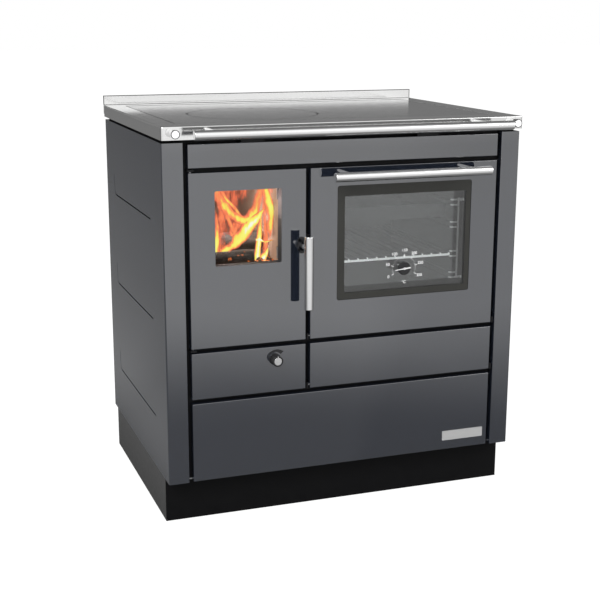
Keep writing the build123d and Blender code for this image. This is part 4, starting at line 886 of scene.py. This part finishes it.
def knob_pointer(made):
    """Fine upright line from the cap to the knob's rim."""
    half = POINTER_WIDTH / 2
    knob_face = KNOB - BACK * KNOB_DEPTH / 1000
    corner_face(made, [on_front(knob_face, x, z) for x, z in (
        (-half, POINTER_INNER), (-half, POINTER_OUTER), (half, POINTER_OUTER), (half, POINTER_INNER))])


add_mesh("knob_wedge", knob_wedge, print_and_painted_shade, "ash_drawer")
add_mesh("knob_pointer", knob_pointer, print_and_painted_highlight, "air_control")

# ------------------------------------------------------------------ pull knobs' painted light and shade, and zone marks, in mm
# the knobs' places from the cabinet's left side, and their height over the floor
PULL_PLACES = {"left": 22, "right": 778}
PULL_HEIGHT = 835.5
PULL_FACE = (0, 7.4)
PULL_RING = (7.4, 9.0)
ZONE = Vector((across(262.5), behind(235), HOB_TOP))
ZONE_RADIUS = 144.0
ZONE_LINE = 1.3
ZONE_DOT = 4.0
ZONE_TURN = -17


def round_face(made, centre, up, radii, sides=72):
    """Flat disc or ring round a point, upright or lying: its inner radius is 0 for a disc."""
    def circle(radius):
        angles = [2 * math.pi * i / sides for i in range(sides)]
        return [made.verts.new(centre + (RIGHT * math.cos(a) + up * math.sin(a)) * radius / 1000)
                for a in angles]
    outer = circle(radii[1])
    if not radii[0]:
        made.faces.new(outer)
        return
    inner = circle(radii[0])
    for i in range(sides):
        k = (i + 1) % sides
        made.faces.new((inner[i], outer[i], outer[k], inner[k]))


# each pull knob's face gets a light disc as painted highlight, and a dark ring round its rim as painted shade
for side, place in PULL_PLACES.items():
    hub = Vector((across(place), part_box(f"{side}_air_slide")[0][1] - PRINT_GAP, PULL_HEIGHT / 1000))
    for part, radii, look in (("face", PULL_FACE, print_and_painted_highlight), ("ring", PULL_RING, print_and_painted_shade)):
        add_mesh(f"{side}_pull_{part}", lambda made: round_face(made, hub, UP, radii), look, f"{side}_slide")


def zone_marks(made):
    """Fine ring of the cooking zone and the four dots round it."""
    centre = ZONE + UP * PRINT_GAP
    round_face(made, centre, BACK, (ZONE_RADIUS - ZONE_LINE / 2, ZONE_RADIUS + ZONE_LINE / 2), 120)
    for quarter in range(4):
        a = math.radians(ZONE_TURN + 90 * quarter)
        spot = centre + (RIGHT * math.cos(a) + BACK * math.sin(a)) * ZONE_RADIUS / 1000
        round_face(made, spot + UP * PRINT_GAP, BACK, (0, ZONE_DOT), 24)


add_mesh("zone_marks", zone_marks, print_and_painted_shade, "cabinet")

# ------------------------------------------------------------------ hob joints, painted shade and highlight, in metres
JOINT = 0.0016
# width of the painted shade at the plate's back and at the upstand's foot
BACK_SHADE_BAND = 0.008
HEM = 0.0018
HEM_GAP = 0.001
plate_low, plate_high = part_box("cooktop_plate")
upstand_low, upstand_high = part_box("rear_upstand")
joint_z = HOB_TOP + PRINT_GAP
hem_y = upstand_low[1] - PRINT_GAP
hem_low, hem_high = HOB_TOP + HEM_GAP, upstand_high[2] - HEM


def strips(spans):
    """Flat strips, lying or upright: each a pair of opposite corners with one height or one depth."""
    def build(made):
        for (x0, y0, z0), (x1, y1, z1) in spans:
            if z0 == z1:
                corner_face(made, [(x0, y0, z0), (x1, y0, z0), (x1, y1, z0), (x0, y1, z0)])
            else:
                corner_face(made, [(x0, y0, z0), (x1, y0, z0), (x1, y0, z1), (x0, y0, z1)])
    return build


# thin dark joints beside the plate, and bands of painted shade at the plate's back and at the upstand's foot
add_mesh("plate_joints_and_shade", strips([
    ((plate_low[0] - JOINT, plate_low[1], joint_z), (plate_low[0], plate_high[1], joint_z)),
    ((plate_high[0], plate_low[1], joint_z), (plate_high[0] + JOINT, plate_high[1], joint_z)),
    ((plate_low[0], plate_high[1], joint_z), (plate_high[0], plate_high[1] + BACK_SHADE_BAND, joint_z)),
    ((upstand_low[0], upstand_low[1] - BACK_SHADE_BAND, joint_z), (upstand_high[0], upstand_low[1], joint_z)),
]), print_and_painted_shade, "cabinet")
# painted highlight: a pale line along the plate's right edge
add_mesh("plate_edge_highlight", strips([
    ((plate_high[0] - JOINT, plate_low[1], joint_z), (plate_high[0], plate_high[1], joint_z)),
]), edge_highlight, "cabinet")
# dark lines along the upstand's top and ends: painted shade along its hem
add_mesh("upstand_hem_shade", strips([
    ((upstand_low[0], hem_y, hem_high), (upstand_high[0], hem_y, upstand_high[2])),
    ((upstand_low[0], hem_y, hem_low), (upstand_low[0] + HEM, hem_y, hem_high)),
    ((upstand_high[0] - HEM, hem_y, hem_low), (upstand_high[0], hem_y, hem_high)),
]), hem_shade, "cabinet")
